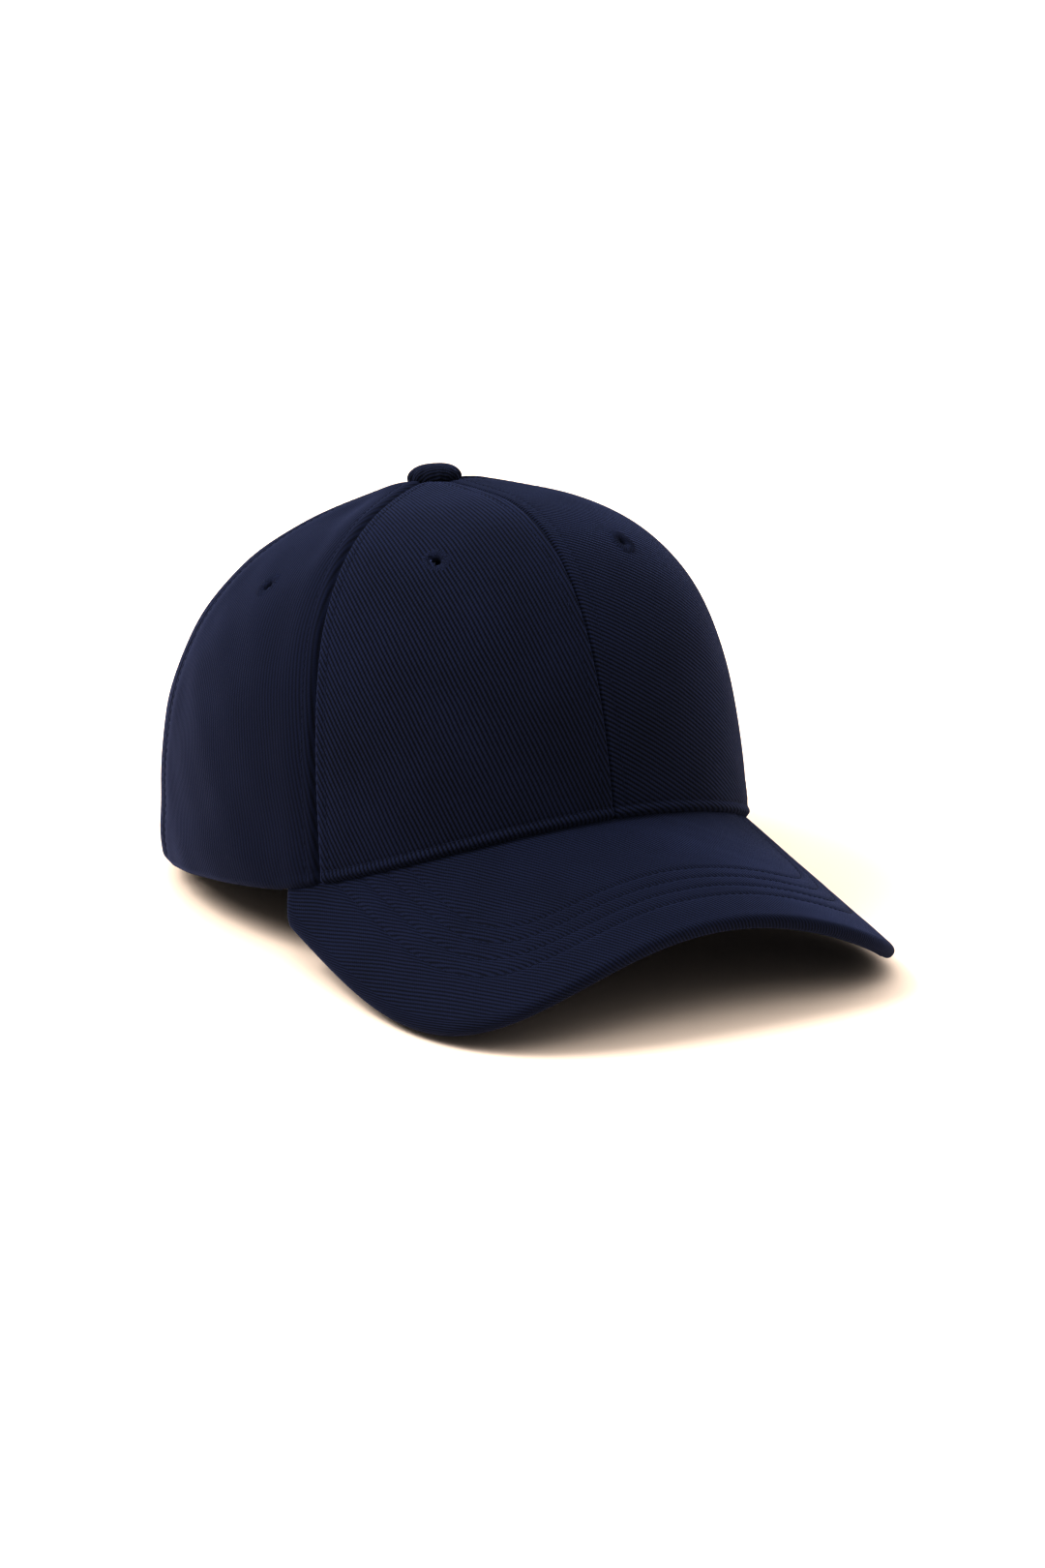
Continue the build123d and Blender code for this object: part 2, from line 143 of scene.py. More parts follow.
def crown_patch(turn, level, inset=0.0, rear_inset=None):
    """Points and outward normals of the crown at matching turns and levels."""
    step = 1e-3
    low = np.clip(level - step, 0, 1)
    high = np.clip(level + step * np.clip(1 - level, 0, 1), 0, 1)
    across = crown(turn + step, level, inset, rear_inset) - crown(turn - step, level, inset, rear_inset)
    upward = crown(turn, high, inset, rear_inset) - crown(turn, low, inset, rear_inset)
    return crown(turn, level, inset, rear_inset), unit(np.cross(across, upward))


def visor_height(x, y, depth=0.0):
    radius = VISOR_RADIUS - depth / math.cos(VISOR_SLOPE)
    arch = np.sqrt(np.clip(radius ** 2 - x ** 2, 0, None)) - VISOR_RADIUS
    return VISOR_CREST + arch + math.tan(VISOR_SLOPE) * (y + FRONT_REACH)


def arch_distance(x, z):
    """Distance outside the half-moon opening's edge, negative inside it."""
    share = np.sqrt((x / ARCH_HALF_WIDTH) ** 2 + (z / ARCH_HEIGHT) ** 2) + 1e-6
    slope = np.sqrt((x / ARCH_HALF_WIDTH ** 2) ** 2 + (z / ARCH_HEIGHT ** 2) ** 2) / share
    return (share - 1) / np.maximum(slope, 1e-6)


def hem_height(turns):
    """Height of the crown's lower edge: visor join at the front, opening at the rear, elsewhere the hem."""
    height = np.zeros_like(turns)
    for _ in range(12):
        point = crown(turns, height / CROWN_HEIGHT)
        join = np.where(point[:, 1] < -VISOR_BACK, visor_height(point[:, 0], point[:, 1]), 0)
        share = np.clip(1 - (point[:, 0] / ARCH_HALF_WIDTH) ** 2, 0, 1)
        opening = np.where(point[:, 1] > 0, ARCH_HEIGHT * np.sqrt(share), 0)
        height = np.clip(np.maximum(join, opening), 0, None)
    return height


def column_levels(turns, bottom, spacing, top_radius=3.0, inset=0.0, rear_inset=None, length=None):
    """Levels of rows that run up each column, with spacing giving their distances above the lower edge."""
    fine = 1 - (1 - np.linspace(0, 0.999, 500)) ** 2.4
    grid_turn, grid_level = np.meshgrid(turns, fine)
    points = crown(grid_turn, grid_level, inset, rear_inset)
    lengths = run_length(points)
    radius = np.hypot(points[..., 0], points[..., 1])
    levels = np.zeros((len(spacing), len(turns)))
    above = np.zeros_like(levels)
    from_hem = np.zeros_like(levels)
    for j in range(len(turns)):
        start = np.interp(bottom[j], points[:, j, 2], lengths[:, j])
        end = np.interp(-top_radius, -radius[:, j], lengths[:, j])
        if length is not None:
            end = start + length
        above[:, j] = spacing * (end - start)
        from_hem[:, j] = start + above[:, j]
        levels[:, j] = np.interp(from_hem[:, j], lengths[:, j], fine)
    return levels, above, from_hem


# ---------------------------------------- mesh helpers

def to_scene(points):
    """Worn frame in millimetres to the resting frame in metres."""
    x, y, z = points[..., 0], points[..., 1], points[..., 2]
    cosine, sine = math.cos(TIP), math.sin(TIP)
    return np.stack([x, y * cosine + z * sine, -y * sine + z * cosine + LIFT], -1) * MM


def make_object(name, points, faces, uv=None, *, material, slot, body="cap", stands_for=(), recalculate=False):
    """A smooth mesh in the scene that rides a body of the model and takes the place of its CAD nodes."""
    mesh = bpy.data.meshes.new(name)
    mesh.from_pydata(to_scene(points.reshape(-1, 3)).tolist(), [], faces.tolist())
    mesh.update()
    if recalculate:
        shell = bmesh.new()
        shell.from_mesh(mesh)
        bmesh.ops.recalc_face_normals(shell, faces=shell.faces)
        shell.to_mesh(mesh)
        shell.free()
    mesh.polygons.foreach_set("use_smooth", np.ones(len(mesh.polygons), bool))
    if uv is not None:
        layer = mesh.uv_layers.new(name="weave")
        corner = np.zeros(len(mesh.loops), np.int32)
        mesh.loops.foreach_get("vertex_index", corner)
        layer.data.foreach_set("uv", uv.reshape(-1, 2)[corner].astype(np.float32).ravel())
    mesh.materials.append(material)
    piece = bpy.data.objects.new(name, mesh)
    bpy.context.scene.collection.objects.link(piece)
    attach(piece, body)
    if stands_for:
        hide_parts(*stands_for)


def grid_faces(rows, columns, wrap=False):
    """Quads of a grid, columns running to the right and rows upwards, facing the viewer."""
    count = columns if wrap else columns - 1
    i, j = np.meshgrid(np.arange(rows - 1), np.arange(count), indexing="ij")
    right = (j + 1) % columns
    quads = [i * columns + j, i * columns + right, (i + 1) * columns + right, (i + 1) * columns + j]
    return np.stack(quads, -1).reshape(-1, 4)


def sheet(name, outer, normals, thickness, uv, keep=None, **looks):
    """Closed sheet: an outer grid, an inner one a thickness behind it, and a rim between them."""
    rows, columns = outer.shape[:2]
    inner = outer - normals * thickness
    front = grid_faces(rows, columns)
    if keep is not None:
        front = front[keep[:-1, :-1].reshape(-1)]
    count = rows * columns
    edges = np.concatenate([front[:, [k, (k + 1) % 4]] for k in range(4)])
    key = np.sort(edges, axis=1)
    code = key[:, 0] * count + key[:, 1]
    _, first, times = np.unique(code, return_index=True, return_counts=True)
    rim = edges[first[times == 1]]
    rim_faces = np.stack([rim[:, 1], rim[:, 0], rim[:, 0] + count, rim[:, 1] + count], -1)
    back = front[:, ::-1] + count
    faces = np.concatenate([front, back, rim_faces])
    points = np.concatenate([outer.reshape(-1, 3), inner.reshape(-1, 3)])
    both = np.concatenate([uv.reshape(-1, 2), uv.reshape(-1, 2)])
    used = np.unique(faces)
    lookup = np.zeros(len(points), int)
    lookup[used] = np.arange(len(used))
    make_object(name, points[used], lookup[faces], both[used], **looks)


def stitches(path, normals):
    """Running stitches along a path: each is a short thread that dives into the cloth at both ends."""
    along = run_length(path)
    count = int((along[-1] - 1) / STITCH_PITCH)
    if count < 1:
        return np.zeros((0, 3)), np.zeros((0, 4), int)
    centres = 0.5 + STITCH_PITCH * (np.arange(count) + 0.5)
    share = np.linspace(0, 1, 7)
    places = centres[:, None] + (share - 0.5) * STITCH_LENGTH

    def sample(values):
        return np.stack([np.interp(places, along, values[:, k]) for k in range(3)], -1)

    centre = sample(path)
    normal = unit(sample(normals))
    side = np.cross(unit(np.gradient(centre, axis=1)), normal)[:, :, None]
    normal = normal[:, :, None]
    height = THREAD_RADIUS * 1.5 * np.sin(math.pi * share) ** 0.7 - THREAD_SUNK
    girth = THREAD_RADIUS * (0.35 + 0.65 * np.sin(math.pi * share) ** 0.5)
    around = np.arange(THREAD_SIDES)[:, None] * 2 * math.pi / THREAD_SIDES
    ring = (normal * np.cos(around) + side * np.sin(around)) * girth[:, None, None]
    points = centre[:, :, None] + normal * height[:, None, None] + ring
    one = grid_faces(len(share), THREAD_SIDES, wrap=True)
    cap = np.array([[0, 3, 2, 1], [0, 5, 4, 3]])
    faces = np.concatenate([one, cap, cap[:, ::-1] + THREAD_SIDES * (len(share) - 1)])
    faces = faces[None] + (np.arange(count) * THREAD_SIDES * len(share))[:, None, None]
    return points.reshape(-1, 3), faces.reshape(-1, 4)


def thread_object(name, runs, material, body="cap"):
    """One object from many runs of stitches, each a (path, normals) pair."""
    points, faces, offset = [], [], 0
    for path, normals in runs:
        run_points, run_faces = stitches(path, normals)
        points.append(run_points)
        faces.append(run_faces + offset)
        offset += len(run_points)
    make_object(
        name, np.concatenate(points), np.concatenate(faces), material=material, body=body, slot="thread"
    )


def across_row(points, normals, field, value, rows):
    """Path where a field that grows along each row reaches a value."""
    path, out = [], []
    for i in rows:
        order = np.argsort(field[i])
        path.append([np.interp(value, field[i][order], points[i][order, k]) for k in range(3)])
        out.append([np.interp(value, field[i][order], normals[i][order, k]) for k in range(3)])
    return np.array(path), unit(np.array(out))


def up_column(points, normals, field, value, columns=None):
    """Path where a field that grows up each column reaches a value."""
    columns = range(points.shape[1]) if columns is None else columns
    return across_row(points.transpose(1, 0, 2), normals.transpose(1, 0, 2), field.T, value, columns)


# ---------------------------------------- materials

def nodes_of(name):
    material = bpy.data.materials.new(name)
    material.use_nodes = True
    tree = material.node_tree
    return material, tree, tree.nodes["Principled BSDF"]


def maths(tree, operation, *values):
    node = tree.nodes.new("ShaderNodeMath")
    node.operation = operation
    for socket, value in zip(node.inputs, values):
        if isinstance(value, (int, float)):
            socket.default_value = value
        else:
            tree.links.new(value, socket)
    return node.outputs[0]


def settings(node, **values):
    """Sets a node's inputs by their names, with _ for a space."""
    for name, value in values.items():
        node.inputs[name.replace("_", " ")].default_value = value


def noise(tree, vector, scale, detail=3.0):
    node = tree.nodes.new("ShaderNodeTexNoise")
    settings(node, Scale=scale, Detail=detail)
    tree.links.new(vector, node.inputs["Vector"])
    return node.outputs["Fac"]


def colour_ramp(tree, value, low, high, start=0.0, end=1.0):
    node = tree.nodes.new("ShaderNodeValToRGB")
    node.color_ramp.elements[0].position = start
    node.color_ramp.elements[1].position = end
    node.color_ramp.elements[0].color = (*low, 1)
    node.color_ramp.elements[1].color = (*high, 1)
    tree.links.new(value, node.inputs[0])
    return node.outputs[0]


def add_bump(tree, shader, height, distance, strength=1.0):
    bump = tree.nodes.new("ShaderNodeBump")
    settings(bump, Strength=strength, Distance=distance * MM)
    tree.links.new(height, bump.inputs["Height"])
    tree.links.new(bump.outputs[0], shader.inputs["Normal"])


WALE_BEND = 0.9
WALE_WOBBLE = 0.16
YARN_SHARE = 0.10
FUZZ_SHARE = 0.5
DYE_SHARE = 0.5
SHEEN_TINT = (0.42, 0.52, 1.0, 1)


def twill(name, groove, ridge, angle, period=1.3, depth=0.22, sheen=0.18, yarn=0.85):
    """Twill cloth: diagonal wales with yarn breaks, uneven dye, fine fuzz and a soft sheen, coloured from
    groove to ridge with the grooves darker as painted shade. UVs are in mm.
    """
    material, tree, shader = nodes_of(name)
    place = tree.nodes.new("ShaderNodeTexCoord").outputs["UV"]
    split = tree.nodes.new("ShaderNodeSeparateXYZ")
    tree.links.new(place, split.inputs[0])
    u, v = split.outputs[0], split.outputs[1]
    cosine, sine = math.cos(math.radians(angle)), math.sin(math.radians(angle))
    across = maths(tree, "ADD", maths(tree, "MULTIPLY", u, -sine), maths(tree, "MULTIPLY", v, cosine))
    along = maths(tree, "ADD", maths(tree, "MULTIPLY", u, cosine), maths(tree, "MULTIPLY", v, sine))
    drift = noise(tree, place, 0.04, 2.0)
    wobble = noise(tree, place, 1.1, 1.0)
    phase = maths(tree, "MULTIPLY_ADD", drift, WALE_BEND, maths(tree, "DIVIDE", across, period))
    phase = maths(tree, "MULTIPLY_ADD", wobble, WALE_WOBBLE, phase)
    wave = maths(tree, "SINE", maths(tree, "MULTIPLY", phase, 2 * math.pi))
    wale = maths(tree, "POWER", maths(tree, "MULTIPLY_ADD", wave, 0.5, 0.5), 0.7)
    beat = maths(tree, "MULTIPLY_ADD", phase, 0.5, maths(tree, "DIVIDE", along, yarn))
    yarns = maths(tree, "SINE", maths(tree, "MULTIPLY", beat, 2 * math.pi))
    fuzz = noise(tree, place, 2.6, 4.0)
    dye = noise(tree, place, 0.035, 3.0)
    weave = maths(tree, "MULTIPLY_ADD", yarns, YARN_SHARE, wale)
    weave = maths(tree, "MULTIPLY_ADD", maths(tree, "SUBTRACT", fuzz, 0.5), FUZZ_SHARE, weave)
    weave = maths(tree, "MULTIPLY_ADD", maths(tree, "SUBTRACT", dye, 0.5), DYE_SHARE, weave)
    # Colour follows the weave: darker in the wales' grooves as painted shade, with the dye and fuzz as the
    # cloth's own uneven tone
    colour = colour_ramp(tree, weave, groove, ridge, 0.05, 1.05)
    tree.links.new(colour, shader.inputs["Base Color"])
    add_bump(tree, shader, weave, depth, 0.9)
    rough = maths(tree, "MULTIPLY_ADD", fuzz, 0.25, 0.68)
    tree.links.new(rough, shader.inputs["Roughness"])
    settings(shader, Specular_IOR_Level=0.18, Sheen_Weight=sheen, Sheen_Roughness=0.4, Sheen_Tint=SHEEN_TINT)
    return material


def thread_finish(name, colour, roughness=0.45):
    """Plied thread."""
    material, tree, shader = nodes_of(name)
    coords = tree.nodes.new("ShaderNodeTexCoord")
    ply = noise(tree, coords.outputs["Object"], 2200.0, 2.0)
    low = tuple(0.6 * part for part in colour)
    high = tuple(1.5 * part for part in colour)
    tree.links.new(colour_ramp(tree, ply, low, high, 0.3, 0.7), shader.inputs["Base Color"])
    add_bump(tree, shader, ply, 0.05)
    settings(shader, Roughness=roughness, Specular_IOR_Level=0.2)
    return material


def metal_finish(name, colour):
    """Metal brushed along one direction, a little worn."""
    material, tree, shader = nodes_of(name)
    coords = tree.nodes.new("ShaderNodeTexCoord")
    stretch = tree.nodes.new("ShaderNodeMapping")
    settings(stretch, Scale=(400, 400, 6000))
    tree.links.new(coords.outputs["Object"], stretch.inputs["Vector"])
    grain = noise(tree, stretch.outputs[0], 1.0, 3.0)
    wear = noise(tree, coords.outputs["Object"], 260.0, 3.0)
    low = tuple(0.72 * part for part in colour)
    tree.links.new(colour_ramp(tree, wear, low, colour, 0.3, 0.7), shader.inputs["Base Color"])
    rough = maths(tree, "MULTIPLY_ADD", grain, 0.25, 0.2)
    tree.links.new(rough, shader.inputs["Roughness"])
    add_bump(tree, shader, grain, 0.01)
    settings(shader, Metallic=1.0)
    return material


def board_finish(name, colour):
    """Pressed plastic sheet."""
    material, tree, shader = nodes_of(name)
    coords = tree.nodes.new("ShaderNodeTexCoord")
    grain = noise(tree, coords.outputs["Object"], 900.0, 4.0)
    low = tuple(0.85 * part for part in colour)
    tree.links.new(colour_ramp(tree, grain, low, colour, 0.3, 0.7), shader.inputs["Base Color"])
    settings(shader, Roughness=0.6)
    return material


# The groove colours darken the twill's grooves as painted shade
NAVY_GROOVE_SHADE = (0.0008, 0.0012, 0.0040)
NAVY_RIDGE = (0.0180, 0.0250, 0.0600)
# Side and rear panels: the same navy cloth with lighter painted groove shade and darker ridges, set apart for
# how the light falls across these panels
SIDE_GROOVE_SHADE = (0.0040, 0.0058, 0.0160)
SIDE_RIDGE = (0.0110, 0.0157, 0.0405)
# Button: the same navy cloth with its ridges darkened as painted shade
BUTTON_RIDGE_SHADED = (0.0110, 0.0152, 0.0370)
# Visor: the same navy cloth with its own painted groove shade and darker ridges, set for how the light falls
# on the visor
VISOR_GROOVE_SHADE = (0.0024, 0.0034, 0.0100)
VISOR_RIDGE = (0.0150, 0.0208, 0.0510)
front_left_twill = twill("front_left_twill", NAVY_GROOVE_SHADE, NAVY_RIDGE, -33)
front_right_twill = twill("front_right_twill", NAVY_GROOVE_SHADE, NAVY_RIDGE, -67)
side_twill = twill("side_twill", SIDE_GROOVE_SHADE, SIDE_RIDGE, -77, depth=0.07)
visor_twill = twill("visor_twill", VISOR_GROOVE_SHADE, VISOR_RIDGE, -62, period=1.05, depth=0.14)
strap_twill = twill("strap_twill", NAVY_GROOVE_SHADE, NAVY_RIDGE, -45, period=1.2)
button_twill = twill("button_twill", NAVY_GROOVE_SHADE, BUTTON_RIDGE_SHADED, -20, period=1.2)
lining_twill = twill("lining_twill", (0.006, 0.008, 0.02), (0.022, 0.027, 0.060), -45, 0.7, 0.05, 0.2, 0.5)
tape_weave = twill("tape_weave", (0.005, 0.006, 0.016), (0.020, 0.024, 0.055), 0, 0.6, 0.06, 0.2, 0.6)
buckram_weave = twill("buckram_weave", (0.36, 0.36, 0.33), (0.70, 0.70, 0.66), 0, 0.9, 0.12, 0.1, 0.9)
felt = twill("felt", (0.55, 0.55, 0.52), (0.74, 0.74, 0.71), 20, 2.5, 0.05, 0.2, 1.7)
label_satin = twill("label_satin", (0.60, 0.60, 0.57), (0.84, 0.84, 0.80), 90, 0.35, 0.03, 0.2, 0.5)
navy_thread = thread_finish("navy_thread", (0.0140, 0.0190, 0.0440), 0.6)
# Eyelet thread is the seam thread brightened, as painted light on the raised rings
eyelet_thread_lit = thread_finish("eyelet_thread_lit", (0.0170, 0.0225, 0.0500), 0.8)
lining_thread = thread_finish("lining_thread", (0.030, 0.035, 0.070))
nickel = metal_finish("brushed_nickel", (0.36, 0.35, 0.33))
visor_board_plastic = board_finish("visor_board_plastic", (0.62, 0.62, 0.60))


# ---------------------------------------- crown panels

def gauss(value, centre, width):
    return np.exp(-((value - centre) / width) ** 2)


def edge_clustered(width, near=6.0, coarse=1.25):
    """Shares across a panel of a given width, closer together near both seams."""
    start = np.concatenate([np.arange(0, 2, 0.22), np.arange(2, near, 0.5)])
    middle = np.linspace(near, width - near, max(4, int((width - 2 * near) / coarse)))
    return np.concatenate([start, middle, (width - start)[::-1]]) / width


def row_spacing(length, near=8.0, fine=0.45, coarse=1.2):
    start = np.arange(0, near, fine)
    return np.concatenate([start, np.linspace(near, length, int((length - near) / coarse))]) / length


def slow_waves(u, v, seed):
    """Gentle unevenness of stretched cloth, a few millimetres long."""
    return (
        np.sin(2 * math.pi * (u / 41 + v / 73) + seed)
        + np.sin(2 * math.pi * (v / 33 - u / 57) + 2.1 * seed)
        + 0.6 * np.sin(2 * math.pi * (u / 23 + v / 29) + 3.7 * seed)
    ) / 2.6


def stitch_pull(along, shift=0.0):
    """Rise and fall of cloth that is drawn in by each stitch."""
    return np.sin(2 * math.pi * along / STITCH_PITCH + shift)


def seam_relief(distance, along, width, puff):
    """Groove at a seam, the swell of the cloth beside it, a sunk row of stitches and small puckers."""
    groove = -(0.7 + 0.7 * width) * gauss(distance, 0, width)
    ridge = 0.3 * puff * gauss(distance, 2.6, 1.2) + puff * gauss(distance, 8.0, 6.0)
    row = -0.12 * gauss(distance, SEAM_ROW, 0.6)
    pucker = 0.07 * stitch_pull(along) * gauss(distance, SEAM_ROW, 2.0)
    return groove + ridge + row + pucker


def eyelet_frame(turn, level):
    """Place, directions and per-millimetre steps of one eyelet on the crown."""
    turn = math.radians(turn)
    step = 1e-3
    across = (crown(np.array(turn + step), level) - crown(np.array(turn - step), level)) / (2 * step)
    upward = (crown(np.array(turn), level + step) - crown(np.array(turn), level - step)) / (2 * step)
    return turn, level, np.linalg.norm(across), np.linalg.norm(upward)


def outside_eyelets(turns, levels):
    """True where the crown isn't pierced by an eyelet."""
    keep = np.ones(levels.shape, bool)
    for place in EYELETS:
        turn, level, across, upward = eyelet_frame(*place)
        swing = np.remainder(turns - turn + math.pi, 2 * math.pi) - math.pi
        keep &= np.hypot(swing * across, (levels - level) * upward) > EYELET_CUT
    return keep


def join_relief(above, along):
    """Rolled lower edge of a front panel, where the visor is sewn on, with its sunk stitch row."""
    roll = 0.75 * gauss(above, 2.2, 1.6) - 1.5 * gauss(above, 0, 1.0)
    row = -0.30 * gauss(above, JOIN_ROW, 0.6)
    pucker = 0.06 * stitch_pull(along) * gauss(above, JOIN_ROW, 1.6)
    return roll + row + pucker


def hem_relief(from_hem):
    """Swell of the cloth over the sweatband, turned in at its lower edge."""
    return 1.0 * gauss(from_hem, 8.0, 8.0) - 0.9 * np.clip(1 - from_hem / 2.2, 0, 1) ** 2


def opening_relief(gap):
    """Turned edge of the rear opening with its two sunk stitch rows."""
    relief = -0.9 * np.clip(1 - gap / 2.0, 0, 1) ** 2
    for row in OPENING_ROWS:
        relief = relief - 0.22 * gauss(gap, row, 0.6)
    return relief


def panel_turns(start, end, is_rear):
    """Turns of a panel's columns, closer together at its seams and at the rear opening's corner."""
    turns = start + edge_clustered(HALF_WIDTH * (end - start)) * (end - start)
    if not is_rear:
        return turns
    corner_reach = float(crown_reach(np.array(math.pi - OPENING_TURN), np.array(0.0)))
    corner = math.asin(ARCH_HALF_WIDTH / corner_reach)
    side = 1 if start < math.pi else -1
    extra = math.pi - side * (corner + np.radians(CORNER_COLUMNS))
    return np.unique(np.concatenate([turns, extra]))


OPENING_ROWS = (3.0, 7.0)
OPENING_TURN = 0.36
OPENING_BLEND = 25
CORNER_COLUMNS = np.array([-1.6, -1.0, -0.6, -0.3, -0.12, 0.0, 0.2])
PANEL_ROWS_LENGTH = 150.0
JOIN_BLEND = 3.0
STIFF_WAVES = 0.12
SOFT_WAVES = 0.3


def panel(name, start, end, seed, grooves, puffs, material):
    """One panel of the crown as a thick sheet with its seams, hem, join and eyelet hole."""
    start, end = np.radians([start, end])
    facing_front = math.cos((start + end) / 2)
    is_rear = facing_front < -0.6
    turns = panel_turns(start, end, is_rear)
    bottom = hem_height(turns)
    levels, above, from_hem = column_levels(turns, bottom, row_spacing(PANEL_ROWS_LENGTH))
    grid_turn = np.broadcast_to(turns, levels.shape)
    points, normals = crown_patch(grid_turn, levels)
    from_start = run_length(points, axis=1)
    from_end = from_start[:, -1:] - from_start
    middle = from_start - from_start[:, -1:] / 2
    radius = np.hypot(points[..., 0], points[..., 1])

    relief = seam_relief(from_start, from_hem, grooves[0], puffs[0])
    relief += seam_relief(from_end, from_hem, grooves[1], puffs[1])
    waves = STIFF_WAVES if facing_front > 0.6 else SOFT_WAVES
    inner_share = np.clip(np.minimum(from_start, from_end) / 12, 0, 1)
    relief += waves * slow_waves(middle, from_hem, seed) * inner_share
    # The cloth is fuller round the button and on the shoulder just in front of each side seam
    relief += 0.5 * gauss(radius, 10, 9) * inner_share + 1.5 * gauss(radius, 10, 16)
    off_seam = np.degrees(np.abs(np.remainder(grid_turn + math.pi, 2 * math.pi) - math.pi)) - 60
    relief += 1.5 * gauss(off_seam, -6, 26) * gauss(levels, 0.74, 0.24)
    if is_rear:
        gap = arch_distance(points[..., 0], points[..., 2])
        near_arch = np.clip(1 - gap / OPENING_BLEND, 0, 1)
        relief += hem_relief(from_hem) * (1 - near_arch) + opening_relief(gap)
    else:
        on_join = np.clip(bottom / JOIN_BLEND, 0, 1) * (np.cos(turns) > 0)
        relief += on_join * join_relief(above, middle) + (1 - on_join) * hem_relief(from_hem)
    outer = points + normals * relief[..., None]

    sheet(
        name + "_cloth", outer, normals, TWILL, np.stack([middle, from_hem], -1),
        outside_eyelets(grid_turn, levels),
        material=material, slot="navy_twill", stands_for=[name],
    )
    rows = np.where((radius[:, 0] > 11) & (above[:, 0] > 1.5))[0]
    runs = [across_row(outer, normals, field, SEAM_ROW, rows) for field in (from_start, from_end)]
    return outer, normals, above, runs


NARROW = 0.5
MEDIUM = 0.65
WIDE = 0.85
# Name, first and last turn, seed of its waves, groove width and swell height at both seams, cloth
PANELS = [
    ("front_panel_left", 0, SIDE_SEAM, 1.3, (NARROW, WIDE), (0.1, 0.2), front_left_twill),
    ("side_panel_left", SIDE_SEAM, REAR_SEAM, 2.2, (WIDE, MEDIUM), (0.75, 0.4), side_twill),
    ("rear_panel_left", REAR_SEAM, 180, 3.1, (MEDIUM, MEDIUM), (0.4, 0.3), side_twill),
    ("rear_panel_right", 180, 360 - REAR_SEAM, 4.4, (MEDIUM, MEDIUM), (0.3, 0.4), side_twill),
    ("side_panel_right", 360 - REAR_SEAM, 360 - SIDE_SEAM, 5.3, (MEDIUM, WIDE), (0.4, 0.75), side_twill),
    ("front_panel_right", 360 - SIDE_SEAM, 360, 6.1, (WIDE, NARROW), (0.2, 0.1), front_right_twill),
]

seam_runs = []
join_runs = []
for name, *shape in PANELS:
    outer, normals, above, runs = panel(name, *shape)
    seam_runs += runs
    if name.startswith("front"):
        join_runs.append(up_column(outer, normals, above, JOIN_ROW))

thread_object("seam_topstitching", seam_runs, navy_thread)
thread_object("join_topstitching", join_runs, navy_thread)


# ---------------------------------------- inner layers

def no_relief(across, above):
    return 0 * above


def inner_sheet(
    name, start, end, inset, thickness, material, slot, rise=None, pocket=0.0, drop=0.0, bump=no_relief
):
    """A layer under the panels between two turns. rise limits it to the lowest part of the crown."""
    turns = np.radians(np.linspace(start, end, round((end - start) / 1.2)))
    bottom = np.clip(hem_height(turns) * (np.cos(turns) > 0) - drop, 0, None)
    spacing = np.linspace(0, 1, 34 if rise else 70)
    levels, above, _ = column_levels(turns, bottom, spacing, 4.0, inset, inset + pocket, rise)
    grid_turn = np.broadcast_to(turns, levels.shape)
    points, normals = crown_patch(grid_turn, levels, inset, inset + pocket)
    across = run_length(points, axis=1)
    points = points - normals * bump(across, above)[..., None]
    sheet(
        name + "_cloth", points, normals, thickness, np.stack([across, above], -1),
        outside_eyelets(grid_turn, levels) if rise is None else None,
        material=material, slot=slot, stands_for=[name],
    )
    return points - normals * thickness, normals, above


def buckram_bump(across, above):
    return 0.05 * slow_waves(across, above, 2.0)


BUCKRAM = {
    "front_buckram_left": (0, SIDE_SEAM),
    "front_buckram_right": (360 - SIDE_SEAM, 360),
}
BUCKRAM_MARGIN = 0.6
BUCKRAM_INSET = 1.25
BUCKRAM_THICKNESS = 0.3
for name, (start, end) in BUCKRAM.items():
    inner_sheet(
        name, start + BUCKRAM_MARGIN, end - BUCKRAM_MARGIN, BUCKRAM_INSET, BUCKRAM_THICKNESS,
        buckram_weave, "buckram", bump=buckram_bump,
    )

TAPE_HALF_WIDTH = 9.0
TAPE_INSET = 1.7
TAPE_THICKNESS = 0.4
TAPE_ROW = 6.8
TAPE_WEDGE = math.radians(28)


def seam_tape(name, seam_turn):
    """Woven tape over the inside of one seam, with a stitch row near each edge."""
    seam = math.radians(seam_turn)
    offsets = np.linspace(-TAPE_HALF_WIDTH, TAPE_HALF_WIDTH, 25)
    foot = seam + offsets / float(crown_reach(np.array(seam), np.array(0.2)))
    levels, above, _ = column_levels(foot, hem_height(foot) + 0.3, np.linspace(0, 1, 110), 4.5, TAPE_INSET)
    reach = crown_reach(np.full_like(levels, seam), levels, TAPE_INSET)
    turns = seam + np.clip(offsets / reach, -TAPE_WEDGE, TAPE_WEDGE)
    points, normals = crown_patch(turns, levels, TAPE_INSET)
    width = np.broadcast_to(offsets, levels.shape)
    rise = 0.9 * gauss(width, 0, 2.6) - 0.16 * gauss(abs(width), TAPE_ROW, 0.7)
    rise += 0.06 * stitch_pull(above) * gauss(abs(width), TAPE_ROW, 1.6)
    points = points - normals * rise[..., None]
    sheet(
        name + "_cloth", points, normals, TAPE_THICKNESS, np.stack([width, above], -1),
        material=tape_weave, slot="tape", stands_for=[name],
    )
    inner = points - normals * TAPE_THICKNESS
    rows = np.where(reach[:, 0] > 22)[0]
    return [across_row(inner, -normals, width, offset, rows) for offset in (-TAPE_ROW, TAPE_ROW)]


